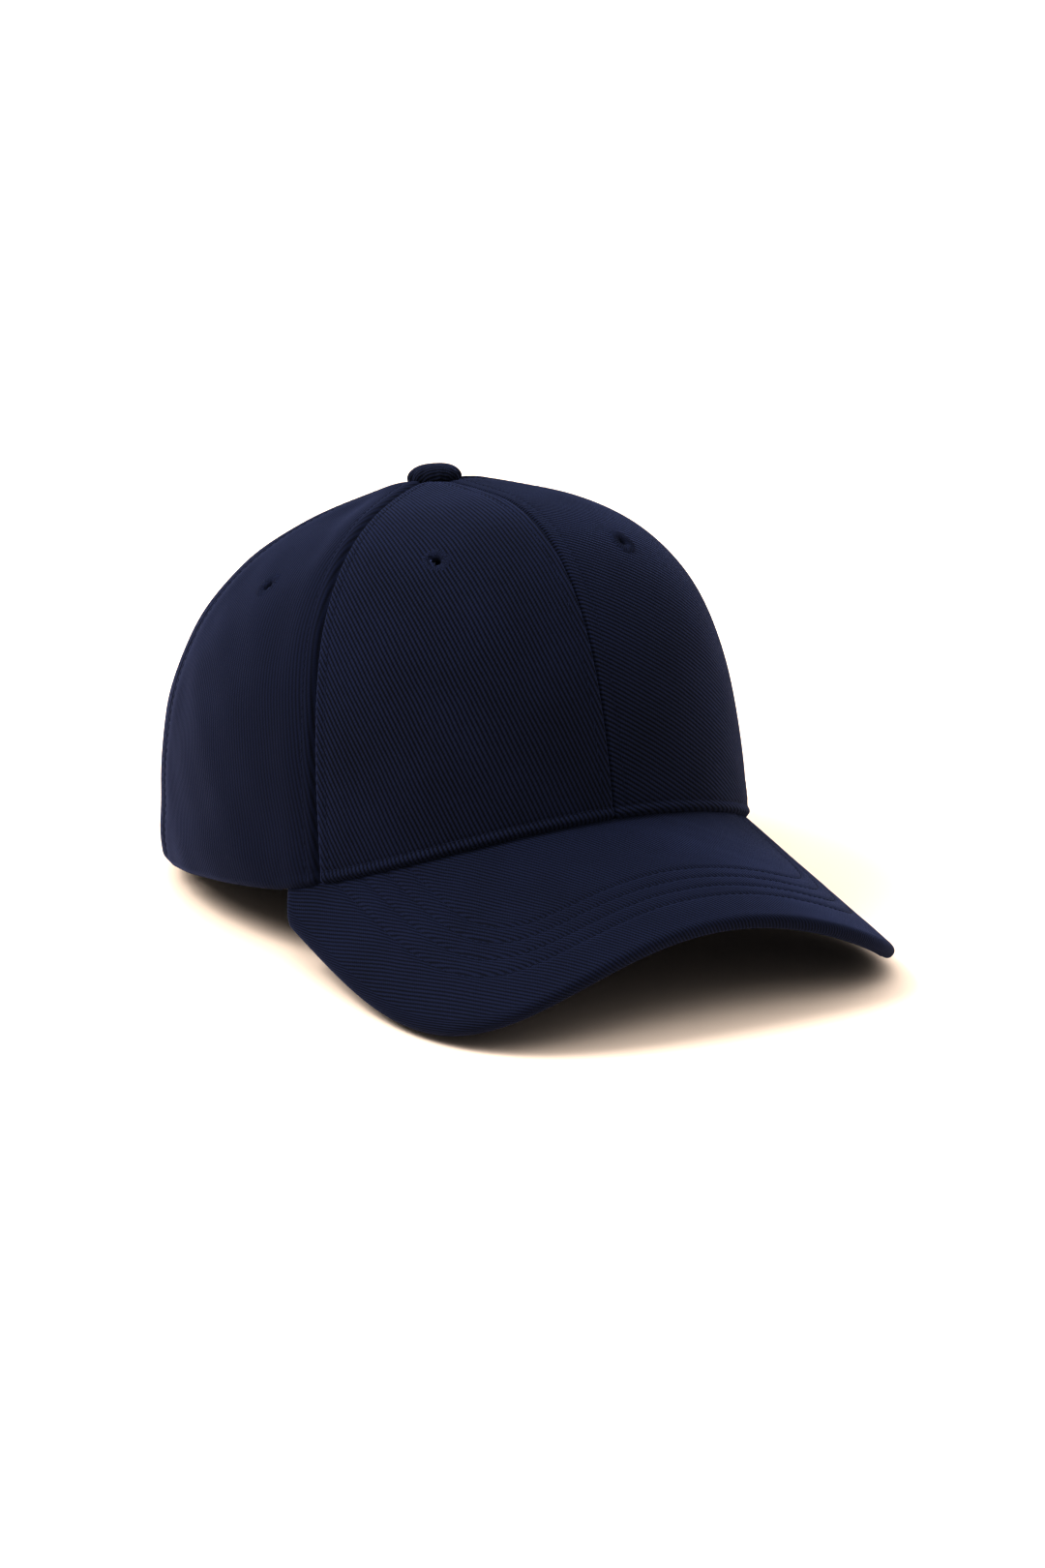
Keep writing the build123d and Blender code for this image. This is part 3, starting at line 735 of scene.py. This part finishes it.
TAPES = {
    "front_seam_tape": 0,
    "front_left_seam_tape": SIDE_SEAM,
    "rear_left_seam_tape": REAR_SEAM,
    "rear_seam_tape": 180,
    "rear_right_seam_tape": 360 - REAR_SEAM,
    "front_right_seam_tape": 360 - SIDE_SEAM,
}
tape_runs = []
for name, turn in TAPES.items():
    tape_runs += seam_tape(name, turn)
thread_object("tape_stitching", tape_runs, lining_thread)

SWEATBAND_END = 156.0
SWEATBAND_RISE = 33.0
SWEATBAND_ROW = 4.0
SWEATBAND_INSET = 3.0
SWEATBAND_THICKNESS = 0.8
INTERLINING_INSET = 2.3
INTERLINING_THICKNESS = 0.5


def sweatband_bump(across, above):
    gathers = np.sin(2 * math.pi * across / 5.2 + 0.8 * np.sin(across / 9))
    puckers = 0.12 * gathers * gauss(above, SWEATBAND_ROW, 4)
    row = -0.3 * gauss(above, SWEATBAND_ROW, 0.8)
    swell = 0.5 * gauss(above, 18, 11) + 0.25 * slow_waves(across, 2 * above, 1.7)
    return puckers + row + swell


def interlining_bump(across, above):
    return 0.1 * slow_waves(across, above, 0.4)


band_turns = (-SWEATBAND_END, SWEATBAND_END)
inner_sheet(
    "sweatband_interlining", *band_turns, INTERLINING_INSET, INTERLINING_THICKNESS, felt, "interlining",
    SWEATBAND_RISE - 0.5, POCKET, VISOR_THICKNESS, interlining_bump,
)
band_face, band_normals, band_above = inner_sheet(
    "sweatband", *band_turns, SWEATBAND_INSET, SWEATBAND_THICKNESS, lining_twill, "sweatband_cotton",
    SWEATBAND_RISE, POCKET, VISOR_THICKNESS, sweatband_bump,
)
band_runs = [up_column(band_face, -band_normals, band_above, SWEATBAND_ROW)]


def swept(name, origin, across, up, profile, **looks):
    """A closed profile with mirrored halves, carried along a path and capped at both ends."""
    profile = np.broadcast_to(profile, (len(origin),) + profile.shape[-2:])
    points = (
        origin[:, None] + across[:, None] * profile[..., 0, None] + up[:, None] * profile[..., 1, None]
    )
    rows, columns = points.shape[:2]
    faces = grid_faces(rows, columns, wrap=True)
    half = np.arange(columns // 2 - 1)
    cap = np.stack([half, half + 1, columns - 2 - half, columns - 1 - half], -1)
    faces = np.concatenate([faces, cap[:, ::-1], cap + (rows - 1) * columns])
    along = run_length(origin)
    round_it = np.linalg.norm(np.diff(profile[0], axis=0, append=profile[0, :1]), axis=1).cumsum()
    uv = np.stack(np.broadcast_arrays(along[:, None], round_it[None]), -1)
    make_object(name, points, faces, uv, recalculate=True, **looks)


def soft_rectangle(width, height, count=44, power=3.2):
    """Rounded rectangle outline that starts beside the middle of its lower side."""
    angles = np.linspace(-math.pi / 2, 3 * math.pi / 2, count, endpoint=False)
    angles = angles + math.pi / count
    reach = (abs(np.cos(angles)) ** power + abs(np.sin(angles)) ** power) ** (-1 / power)
    return np.stack([np.cos(angles) * reach * width / 2, np.sin(angles) * reach * height / 2], -1)


BINDING_HEIGHT = 4.0
BINDING_DEPTH = 2.1
BINDING_SINK = 0.35
BINDING_LIFT = 1.2
BINDING_ROW = 0.2
top_points = band_face[-1] + band_normals[-1] * (SWEATBAND_THICKNESS - BINDING_SINK)
top_up = unit(band_face[-1] - band_face[-3])
puff = 1 + 0.05 * np.sin(np.arange(len(top_points)) * 1.9)
binding_profile = soft_rectangle(BINDING_DEPTH, BINDING_HEIGHT)[None] * puff[:, None, None]
swept(
    "sweatband_binding_cloth", top_points + top_up * BINDING_LIFT, -band_normals[-1], top_up, binding_profile,
    material=tape_weave, slot="tape", stands_for=["sweatband_binding"],
)
binding_face = top_points + top_up * BINDING_ROW - band_normals[-1] * (BINDING_DEPTH / 2)
band_runs.append((binding_face, -band_normals[-1]))
thread_object("sweatband_stitching", band_runs, lining_thread)


def care_label():
    """A blank woven tab on the sweatband beside the opening."""
    count = 40
    turns, levels = np.meshgrid(
        np.radians(np.linspace(*LABEL_TURNS, count)), np.linspace(*LABEL_HEIGHTS, count) / CROWN_HEIGHT
    )
    points, normals = crown_patch(turns, levels, LABEL_INSET, LABEL_INSET + POCKET)
    u, v = np.meshgrid(np.linspace(0, LABEL_LENGTH, count), np.linspace(0, np.ptp(LABEL_HEIGHTS), count))
    lift = 0.25 * slow_waves(u, v, 0.9) + 0.35 * gauss(v, 0, 5)
    sheet(
        "care_label_cloth", points - normals * lift[..., None], normals, 0.35, np.stack([u, v], -1),
        material=label_satin, slot="label", stands_for=["care_label"],
    )


LABEL_TURNS = (134, 152)
LABEL_HEIGHTS = (8.0, 26.0)
LABEL_LENGTH = 28
LABEL_INSET = 4.5
care_label()


# ---------------------------------------- visor

def visor_join(angles):
    """Level distance from the visor's centre to where its top runs in under the crown's lower edge."""
    def inside(reach):
        x = reach * np.sin(angles)
        y = -VISOR_BACK - reach * np.cos(angles)
        level = np.clip(visor_height(x, y), 0, None) / CROWN_HEIGHT
        return np.hypot(x, y) < crown_reach(np.arctan2(x, -y), level, JOIN_TUCK)

    return last_true(inside, np.full_like(angles, 10.0), np.full_like(angles, 90.0))


def visor_place(margin, depth):
    """Points of the visor along its edge, at a margin inside it and a depth square to the top face."""
    lean = np.gradient(outline_reach, angles) / outline_reach
    reach = outline_reach - margin * np.sqrt(1 + lean ** 2)
    x = reach * np.sin(angles)
    y = -VISOR_BACK - reach * np.cos(angles)
    side_slope = x / np.sqrt(VISOR_RADIUS ** 2 - x ** 2)
    out_of_face = np.stack(np.broadcast_arrays(side_slope, -math.tan(VISOR_SLOPE), 1.0), -1)
    droop = LOBE_DROOP * (x / VISOR_HALF_WIDTH) ** 2 * np.clip((-y - 60) / 80, 0, 1)
    top = np.stack([x, y, visor_height(x, y) - droop], -1)
    return top - unit(out_of_face) * (depth + 0 * x)[..., None]


def grid_normals(points):
    across = np.gradient(points, axis=1)
    upward = np.gradient(points, axis=0)
    return unit(np.cross(across, upward))


def visor_relief(margin, along):
    """Sunk rows of stitching with slightly raised cloth and puckers between them."""
    rise = 0 * margin
    for row in VISOR_ROWS:
        rise = rise - 0.34 * gauss(margin, row, 0.75)
        rise = rise + 0.05 * stitch_pull(along, row) * gauss(margin, row, 1.6)
    rise = rise + 0.10 * gauss(margin, 8.0, 3.5)
    return rise + 0.06 * slow_waves(along, 3 * margin, 2.6)


JOIN_TUCK = 2.0
EDGE_ROUND = VISOR_THICKNESS / 2
EDGE_POWER = 2.5
LOBE_DROOP = 0.9
CORNER_START = math.radians(83)
CORNER_TUCK = 0.5
JOIN_SHARE = 0.985
CROWDING = math.pi / 2 * 0.985

# Angles round the visor's centre, crowded towards its two corners
angles = math.pi / 2 * np.sin(np.linspace(-1, 1, 250) * CROWDING) / math.sin(CROWDING)
full_reach = oval_reach(angles, FRONT_REACH + VISOR_LENGTH - VISOR_BACK, VISOR_HALF_WIDTH, VISOR_POWER)
join_reach = visor_join(angles)
# Towards its corners the visor narrows until it runs in under the crown
corner = np.clip((abs(angles) - CORNER_START) / (math.pi / 2 - CORNER_START), 0, 1) ** 2
outline_reach = full_reach - corner * (full_reach - join_reach - CORNER_TUCK)
outline = visor_place(0.0, 0.0)
edge_along = run_length(outline)
edge_heading = unit(np.gradient(outline, axis=0)[:, :2])
edge_outward = np.stack([edge_heading[:, 1], -edge_heading[:, 0]], -1)
widest = np.maximum(outline_reach - join_reach, EDGE_ROUND + 1.0) * JOIN_SHARE


def weave_map(plan):
    """Places on the flat cloth before it was bent over the visor's arch."""
    x = np.clip(plan[..., 0] / VISOR_RADIUS, -0.999, 0.999)
    return np.stack([VISOR_RADIUS * np.arcsin(x), plan[..., 1]], -1)


def flat_margins(share):
    """Margins from the join out to where the edge starts to turn."""
    return widest + (EDGE_ROUND - widest) * share


def along_edge(column):
    """The same values at every angle of the visor, one row for each value."""
    return np.repeat(np.array(column)[:, None], len(angles), axis=1)


def visor_top_cloth():
    """Cloth over the top of the visor, rolled round its edge and a little way in underneath."""
    flat = flat_margins(np.linspace(0, 1, 118)[:, None])
    turning = np.linspace(0, math.pi, 22)[1:]
    bend_sine = np.sin(turning) ** (2 / EDGE_POWER)
    bend_cosine = np.sign(np.cos(turning)) * abs(np.cos(turning)) ** (2 / EDGE_POWER)
    round_margins = along_edge(EDGE_ROUND * (1 - bend_sine))
    round_depths = along_edge(EDGE_ROUND * (1 - bend_cosine))
    turned_in = along_edge([2.3, 2.7, 3.0])
    turned_up = VISOR_THICKNESS + along_edge([0.05, -0.1, -0.55])
    margins = np.concatenate([flat, round_margins, turned_in])
    depths = np.concatenate([0 * flat, round_depths, turned_up])
    face = visor_place(margins, depths)
    normals = -grid_normals(face)
    face = face + normals * np.where(depths > 0, 0, visor_relief(margins, edge_along))[..., None]
    roll = run_length(face)
    last = len(flat) - 1
    beyond = edge_outward * np.clip(roll - roll[last], 0, None)[..., None]
    weave = np.where(depths[..., None] > 0, face[last, :, :2] + beyond, face[..., :2])
    sheet(
        "visor_top_cloth", face, normals, 0.5, weave_map(weave),
        material=visor_twill, slot="navy_twill", stands_for=["visor_top_cover"],
    )
    return face[: last + 1], normals[: last + 1], flat


def visor_under_cloth():
    """Cloth under the visor, tucked up at its edge inside the turned edge of the upper cloth."""
    share = np.linspace(0, 1, 90)[:, None]
    flat = np.maximum(flat_margins(share) - UNDER_JOIN_GAP * (1 - share), UNDER_MARGIN)
    margins = np.concatenate([flat, along_edge([1.75, 1.62, 1.6])])
    depths = np.full(margins.shape, VISOR_THICKNESS + 0.2)
    depths[-2:] -= along_edge([0.12, 0.5])
    face = visor_place(margins, depths)
    normals = grid_normals(face)
    face = face + normals * visor_relief(margins, edge_along)[..., None]
    sheet(
        "visor_under_cloth", face, normals, 0.45, weave_map(face[..., :2]),
        material=visor_twill, slot="navy_twill", stands_for=["visor_under_cover"],
    )
    return face[: len(flat)], normals[: len(flat)], flat


def visor_board():
    columns = abs(angles) < BOARD_END
    reach = widest - BOARD_JOIN_GAP - BOARD_MARGIN
    face = visor_place(BOARD_MARGIN + reach * np.linspace(1, 0, 40)[:, None], BOARD_DEPTH)[:, columns]
    sheet(
        "visor_board_sheet", face, -grid_normals(face), BOARD_THICKNESS, face[..., :2],
        material=visor_board_plastic, slot="visor_board", stands_for=["visor_board"],
    )


UNDER_JOIN_GAP = 1.8
UNDER_MARGIN = 1.9
BOARD_END = math.radians(76)
BOARD_JOIN_GAP = 2.2
BOARD_MARGIN = 2.4
BOARD_DEPTH = 0.75
BOARD_THICKNESS = 2.3
ROW_CLEAR = 2.5

visor_faces = [visor_top_cloth(), visor_under_cloth()]
visor_board()
visor_runs = []
for face, face_normals, face_margins in visor_faces:
    for row in VISOR_ROWS:
        columns = np.where(widest - ROW_CLEAR > row)[0]
        visor_runs.append(up_column(face, face_normals, face_margins, row, columns))
thread_object("visor_stitching", visor_runs, navy_thread)


# ---------------------------------------- rear opening

def rear_face(x, z, inset):
    """Point of the crown's rear half that has a given x and height."""
    level = z / (CROWN_HEIGHT - inset)

    def is_wide(turn):
        return crown_reach(turn, level, inset) * np.sin(turn) > abs(x)

    turn = last_true(is_wide, np.full_like(x, math.pi / 2), np.full_like(x, math.pi))
    return crown_patch(np.where(x >= 0, turn, 2 * math.pi - turn), level, inset)


def arch_row(gap, inset, sweep):
    """Points and normals of the crown at a distance outside the rear opening's edge."""
    return rear_face((ARCH_HALF_WIDTH + gap) * np.cos(sweep), (ARCH_HEIGHT + gap) * np.sin(sweep), inset)


FACING_INSET = 1.25
sweep = np.linspace(math.radians(0.5), math.radians(179.5), 170)
gap = np.linspace(0.7, 8.0, 14)[:, None]
facing, facing_normals = arch_row(gap, FACING_INSET, sweep)
facing_along, facing_gap = np.broadcast_arrays(sweep * ARCH_HEIGHT, gap)
facing_rise = 0.35 * gauss(facing_gap, 5.0, 2.2) - 0.2 * gauss(facing_gap, OPENING_ROWS[0], 0.6)
facing_rise = facing_rise + 0.07 * stitch_pull(facing_along)
sheet(
    "opening_facing_cloth", facing - facing_normals * facing_rise[..., None], facing_normals, 0.5,
    np.stack([facing_along, facing_gap], -1),
    material=tape_weave, slot="tape", stands_for=["opening_binding"],
)

arch_runs = []
for gap in OPENING_ROWS:
    path, out = arch_row(gap, 0.0, sweep)
    arch_runs.append((path - out * 0.2, out))
thread_object("opening_stitching", arch_runs, navy_thread)

# ---------------------------------------- eyelets

EYELET_STITCHES = 34
ROWS_ON_TOP = 17
ring_random = np.random.default_rng(7)


def eyelet_rows():
    """Radius and height of a ring's section, from its outer edge over the top and down the hole."""
    arc = np.linspace(0, 1, 15)
    radius = EYELET_RADIUS + (EYELET_HOLE - EYELET_RADIUS) * arc
    height = -0.45 + 1.0 * np.sin(math.pi * np.clip(arc * 1.02, 0, 1)) ** 0.5
    hole_radius = np.array([EYELET_HOLE - 0.05, EYELET_HOLE, EYELET_HOLE + 0.5])
    hole_height = np.array([-1.1, -1.8, -2.1])
    back_radius = np.array([EYELET_RADIUS - 1.0, EYELET_RADIUS - 0.2])
    back_height = np.array([-2.0, -0.9])
    return (
        np.concatenate([radius, hole_radius, back_radius]),
        np.concatenate([height, hole_height, back_height]),
    )


def eyelet_ring(turn_degrees, level):
    turn, level, across, upward = eyelet_frame(turn_degrees, level)
    radius, height = eyelet_rows()
    angle = np.linspace(0, 2 * math.pi, EYELET_STITCHES * 8, endpoint=False)
    stitch_ends = ring_random.uniform(-0.55, 0.30, EYELET_STITCHES + 1)
    ragged = np.interp(angle, np.linspace(0, 2 * math.pi, EYELET_STITCHES + 1), stitch_ends)
    outer_share = np.clip((radius - EYELET_HOLE) / (EYELET_RADIUS - EYELET_HOLE), 0, 1) ** 2
    radii = radius[:, None] + outer_share[:, None] * ragged
    ridges = 0.24 * np.abs(np.cos(angle * EYELET_STITCHES / 2)) ** 0.7
    on_top = (np.arange(len(radius)) < ROWS_ON_TOP)[:, None]
    heights = height[:, None] + np.where(on_top, ridges, 0)
    turns = turn + radii * np.cos(angle) / across
    levels = level + radii * np.sin(angle) / upward
    points, normals = crown_patch(turns, levels)
    points = points + normals * heights[..., None]
    uv = np.stack(np.broadcast_arrays(angle * 4, radius[:, None]), -1)
    return points, uv


eyelet_points, eyelet_faces, eyelet_uv = [], [], []
for place in EYELETS:
    ring, ring_uv = eyelet_ring(*place)
    rows, columns = ring.shape[:2]
    faces = grid_faces(rows + 1, columns, wrap=True) % (rows * columns)
    eyelet_faces.append(faces + rows * columns * len(eyelet_points))
    eyelet_points.append(ring.reshape(-1, 3))
    eyelet_uv.append(ring_uv.reshape(-1, 2))
make_object(
    "eyelet_embroidery",
    np.concatenate(eyelet_points), np.concatenate(eyelet_faces), np.concatenate(eyelet_uv),
    material=eyelet_thread_lit, slot="thread", stands_for=["sewn_eyelets"], recalculate=True,
)

# ---------------------------------------- button

BUTTON_RADIUS = 8.5
BUTTON_DOME = 4.6
BUTTON_WAIST = 2.7
BUTTON_TUCK = 3.4
BUTTON_PLEATS = 15


def button_cloth():
    """Pleated cloth drawn over the button's domed shell and gathered in below it."""
    lean = np.radians(np.concatenate([np.linspace(89.5, 0, 30), np.linspace(-8, -62, 9)]))[:, None]
    around = np.linspace(0, 2 * math.pi, 241)[None]
    radius = BUTTON_RADIUS * np.cos(lean) ** 0.78
    height = np.where(lean > 0, BUTTON_DOME * np.abs(np.sin(lean)) ** 0.95, BUTTON_TUCK * np.sin(lean))
    rim = np.clip(radius / BUTTON_RADIUS, 0, 1) ** 5
    pleat = np.sin(BUTTON_PLEATS * around + 1.1 * np.sin(3 * around) + 0.5) + 0.4 * np.sin(23 * around + 2)
    radius = radius + 0.20 * rim * pleat * np.where(lean > 0, 1, 0.7)
    height = height + 0.08 * rim * pleat + 0.05 * np.sin(2 * around + 1) * rim
    x, y = np.sin(around), -np.cos(around)
    face = np.stack([radius * x, radius * y, CROWN_HEIGHT + BUTTON_WAIST + height], -1)
    normals = unit(np.stack(np.broadcast_arrays(x * np.cos(lean), y * np.cos(lean), np.sin(lean)), -1))
    down = run_length(face).mean(axis=1)[:, None]
    sheet(
        "button_cloth", face, normals, 0.6, np.stack([down * x, down * y], -1),
        material=button_twill, slot="navy_twill", stands_for=["button_cover"],
    )


button_cloth()

# ---------------------------------------- closure

BAND_RADIUS = 76.1
BAND_CENTRE = REAR_REACH - BAND_RADIUS
STRAP_THICKNESS = 1.4
STRAP_INSET = 2.4
STRAP_MIDDLE = BAND_RADIUS - STRAP_INSET - STRAP_THICKNESS / 2
STRAP_ROW = 2.3
STRAP_SOFT_EDGE = 0.7
STRAP_BOTTOM = 4.5
STRAP_HEIGHT = 18.0
STRAP_ENDS = (-42.0, 44.0)


def band_line(angles, radius, height):
    """Points round the rear band, with their outward directions."""
    out = np.stack([-np.sin(angles), np.cos(angles), 0 * angles], -1)
    centre = np.array([0, BAND_CENTRE, height])
    return centre + out * radius, out


def flat_strip(thickness, height, rows):
    """Outline of a flat strip with rounded edges: up its outer face and down its inner one."""
    up = np.linspace(-1, 1, rows)
    swing = np.sin(up * math.pi / 2)
    heights = swing * height / 2
    from_edge = height / 2 - abs(heights)
    soft = np.clip(1 - from_edge / STRAP_SOFT_EDGE, 0, 1)
    half = thickness / 2 * np.sqrt(np.clip(1 - soft ** 2, 0.02, 1))
    half = half - 0.16 * gauss(from_edge, STRAP_ROW, 0.5) + 0.10 * gauss(from_edge, 5.0, 2.0)
    return np.concatenate([np.stack([half, heights], -1), np.stack([-half, heights], -1)[::-1]])


strap_angles = np.radians(np.arange(STRAP_ENDS[0], STRAP_ENDS[1] + 0.1, 0.4))
strap_origin, strap_out = band_line(strap_angles, STRAP_MIDDLE, STRAP_BOTTOM + STRAP_HEIGHT / 2)
swept(
    "strap_webbing", strap_origin, strap_out, np.broadcast_to([0.0, 0.0, 1.0], strap_origin.shape),
    flat_strip(STRAP_THICKNESS, STRAP_HEIGHT, 56),
    material=strap_twill, slot="navy_twill", body="strap", stands_for=["closure_strap"],
)
strap_runs = []
stitched = strap_angles[3:-3]
for height in (STRAP_BOTTOM + STRAP_ROW, STRAP_BOTTOM + STRAP_HEIGHT - STRAP_ROW):
    for side in (1, -1):
        path, out = band_line(stitched, STRAP_MIDDLE + side * (STRAP_THICKNESS / 2 - 0.16), height)
        strap_runs.append((path, side * out))
thread_object("strap_stitching", strap_runs, navy_thread, body="strap")

LOOP_RADIUS = 70.8
LOOP_FOLD = 0.9
LOOP_BOTTOM = 5.0
LOOP_HEIGHT = 17.0
LOOP_ROW = 1.8
LOOP_LIFT = 0.26
BAR_ANGLE = 23.4
LOOP_ANGLES = (42, 28.4)


def buckle_loop_cloth():
    """Cloth tab that runs from under the crown, folds round the buckle's bar and comes back."""
    front_angles = np.radians(np.linspace(LOOP_ANGLES[0], BAR_ANGLE, 46))
    back_angles = np.radians(np.linspace(BAR_ANGLE, LOOP_ANGLES[1], 14))
    front, front_out = band_line(front_angles, LOOP_RADIUS + LOOP_FOLD, 0)
    back, back_out = band_line(back_angles, LOOP_RADIUS - LOOP_FOLD, 0)
    turn = np.linspace(0, math.pi, 14)[1:-1, None]
    bar, bar_out = band_line(np.radians([BAR_ANGLE]), LOOP_RADIUS, 0)
    ahead = np.array([[math.cos(math.radians(BAR_ANGLE)), math.sin(math.radians(BAR_ANGLE)), 0.0]])
    fold_out = bar_out * np.cos(turn) + ahead * np.sin(turn)
    path = np.concatenate([front, bar + fold_out * LOOP_FOLD, back])
    rows = np.linspace(0, 1, 30)[:, None, None]
    face = path[None] + (LOOP_BOTTOM + LOOP_HEIGHT * rows) * np.array([0, 0, 1.0])
    normals = np.broadcast_to(np.concatenate([front_out, fold_out, -back_out]), face.shape)
    from_edge = LOOP_HEIGHT * np.minimum(rows, 1 - rows)
    face = face + normals * (LOOP_LIFT - 0.12 * gauss(from_edge, LOOP_ROW, 0.5))
    uv = np.stack(np.broadcast_arrays(run_length(path)[None], LOOP_HEIGHT * rows[..., 0]), -1)
    sheet(
        "buckle_loop_cloth", face, normals, 0.5, uv,
        material=strap_twill, slot="navy_twill", stands_for=["buckle_loop"],
    )


buckle_loop_cloth()

# ---------------------------------------- hard parts

HARD_PARTS = ["button_shell", "button_stud", "button_back", "buckle_frame", "buckle_pin", "buckle_lever"]
for name in HARD_PARTS:
    node = frame["nodes"][name]
    for slot in node.material_slots:
        slot.material = nickel

# ---------------------------------------- stage

FLOOR_WIDTH = 4
bpy.ops.mesh.primitive_plane_add(size=FLOOR_WIDTH)
floor = bpy.context.object
floor.name = "floor"
floor_paint, _, floor_shader = nodes_of("floor_paper")
settings(floor_shader, Base_Color=(0.95, 0.82, 0.71, 1), Roughness=0.9, Specular_IOR_Level=0.1)
floor.data.materials.append(floor_paint)

# The studio's walls light the cap more from above than from the sides, and look white to the camera
world = bpy.data.worlds.new("studio")
world.use_nodes = True
sky = world.node_tree
walls = sky.nodes["Background"]
settings(walls, Color=(1, 1, 1, 1))
direction = sky.nodes.new("ShaderNodeTexCoord")
parts = sky.nodes.new("ShaderNodeSeparateXYZ")
sky.links.new(direction.outputs["Generated"], parts.inputs[0])
fade = sky.nodes.new("ShaderNodeMapRange")
settings(fade, From_Min=0.0, From_Max=0.9, To_Min=0.17, To_Max=1.25)
sky.links.new(parts.outputs[2], fade.inputs["Value"])
seen = sky.nodes.new("ShaderNodeLightPath")
strength = maths(sky, "MAXIMUM", fade.outputs[0], seen.outputs["Is Camera Ray"])
sky.links.new(strength, walls.inputs["Strength"])
bpy.context.scene.world = world


def soft_box(name, place, size, power, target=(0, 0, 0.06)):
    light = bpy.data.lights.new(name, "AREA")
    light.size = size
    light.energy = power
    lamp = bpy.data.objects.new(name, light)
    bpy.context.scene.collection.objects.link(lamp)
    lamp.location = place
    lamp.rotation_euler = (Vector(place) - Vector(target)).to_track_quat("Z", "Y").to_euler()


soft_box("key", (-1.4, 0.32, 1.52), 1.0, 29)
soft_box("front", (-0.9, -1.3, 1.7), 1.0, 7)

CAMERA_PLACE = Vector((-0.5544, -0.9729, 0.3550))
CAMERA_AZIMUTH = math.radians(30.695)
CAMERA_ELEVATION = math.radians(15.937)
CAMERA_ROLL = math.radians(0.849)
back = Vector(
    (
        -math.sin(CAMERA_AZIMUTH) * math.cos(CAMERA_ELEVATION),
        -math.cos(CAMERA_AZIMUTH) * math.cos(CAMERA_ELEVATION),
        math.sin(CAMERA_ELEVATION),
    )
)
level_right = Vector((0, 0, 1)).cross(back).normalized()
level_up = back.cross(level_right)
right = level_right * math.cos(CAMERA_ROLL) + level_up * math.sin(CAMERA_ROLL)
up = back.cross(right)
lens = bpy.data.cameras.new("photo_camera")
lens.lens = 84.57
lens.sensor_width = 36
lens.shift_x = -0.0008
lens.clip_start = 0.05
camera = bpy.data.objects.new("photo_camera", lens)
bpy.context.scene.collection.objects.link(camera)
camera.matrix_world = Matrix.Translation(CAMERA_PLACE) @ Matrix((right, up, back)).transposed().to_4x4()
bpy.context.scene.camera = camera
view = bpy.context.scene.view_settings
view.view_transform = "Standard"
view.exposure = 0.5
view.gamma = 0.62
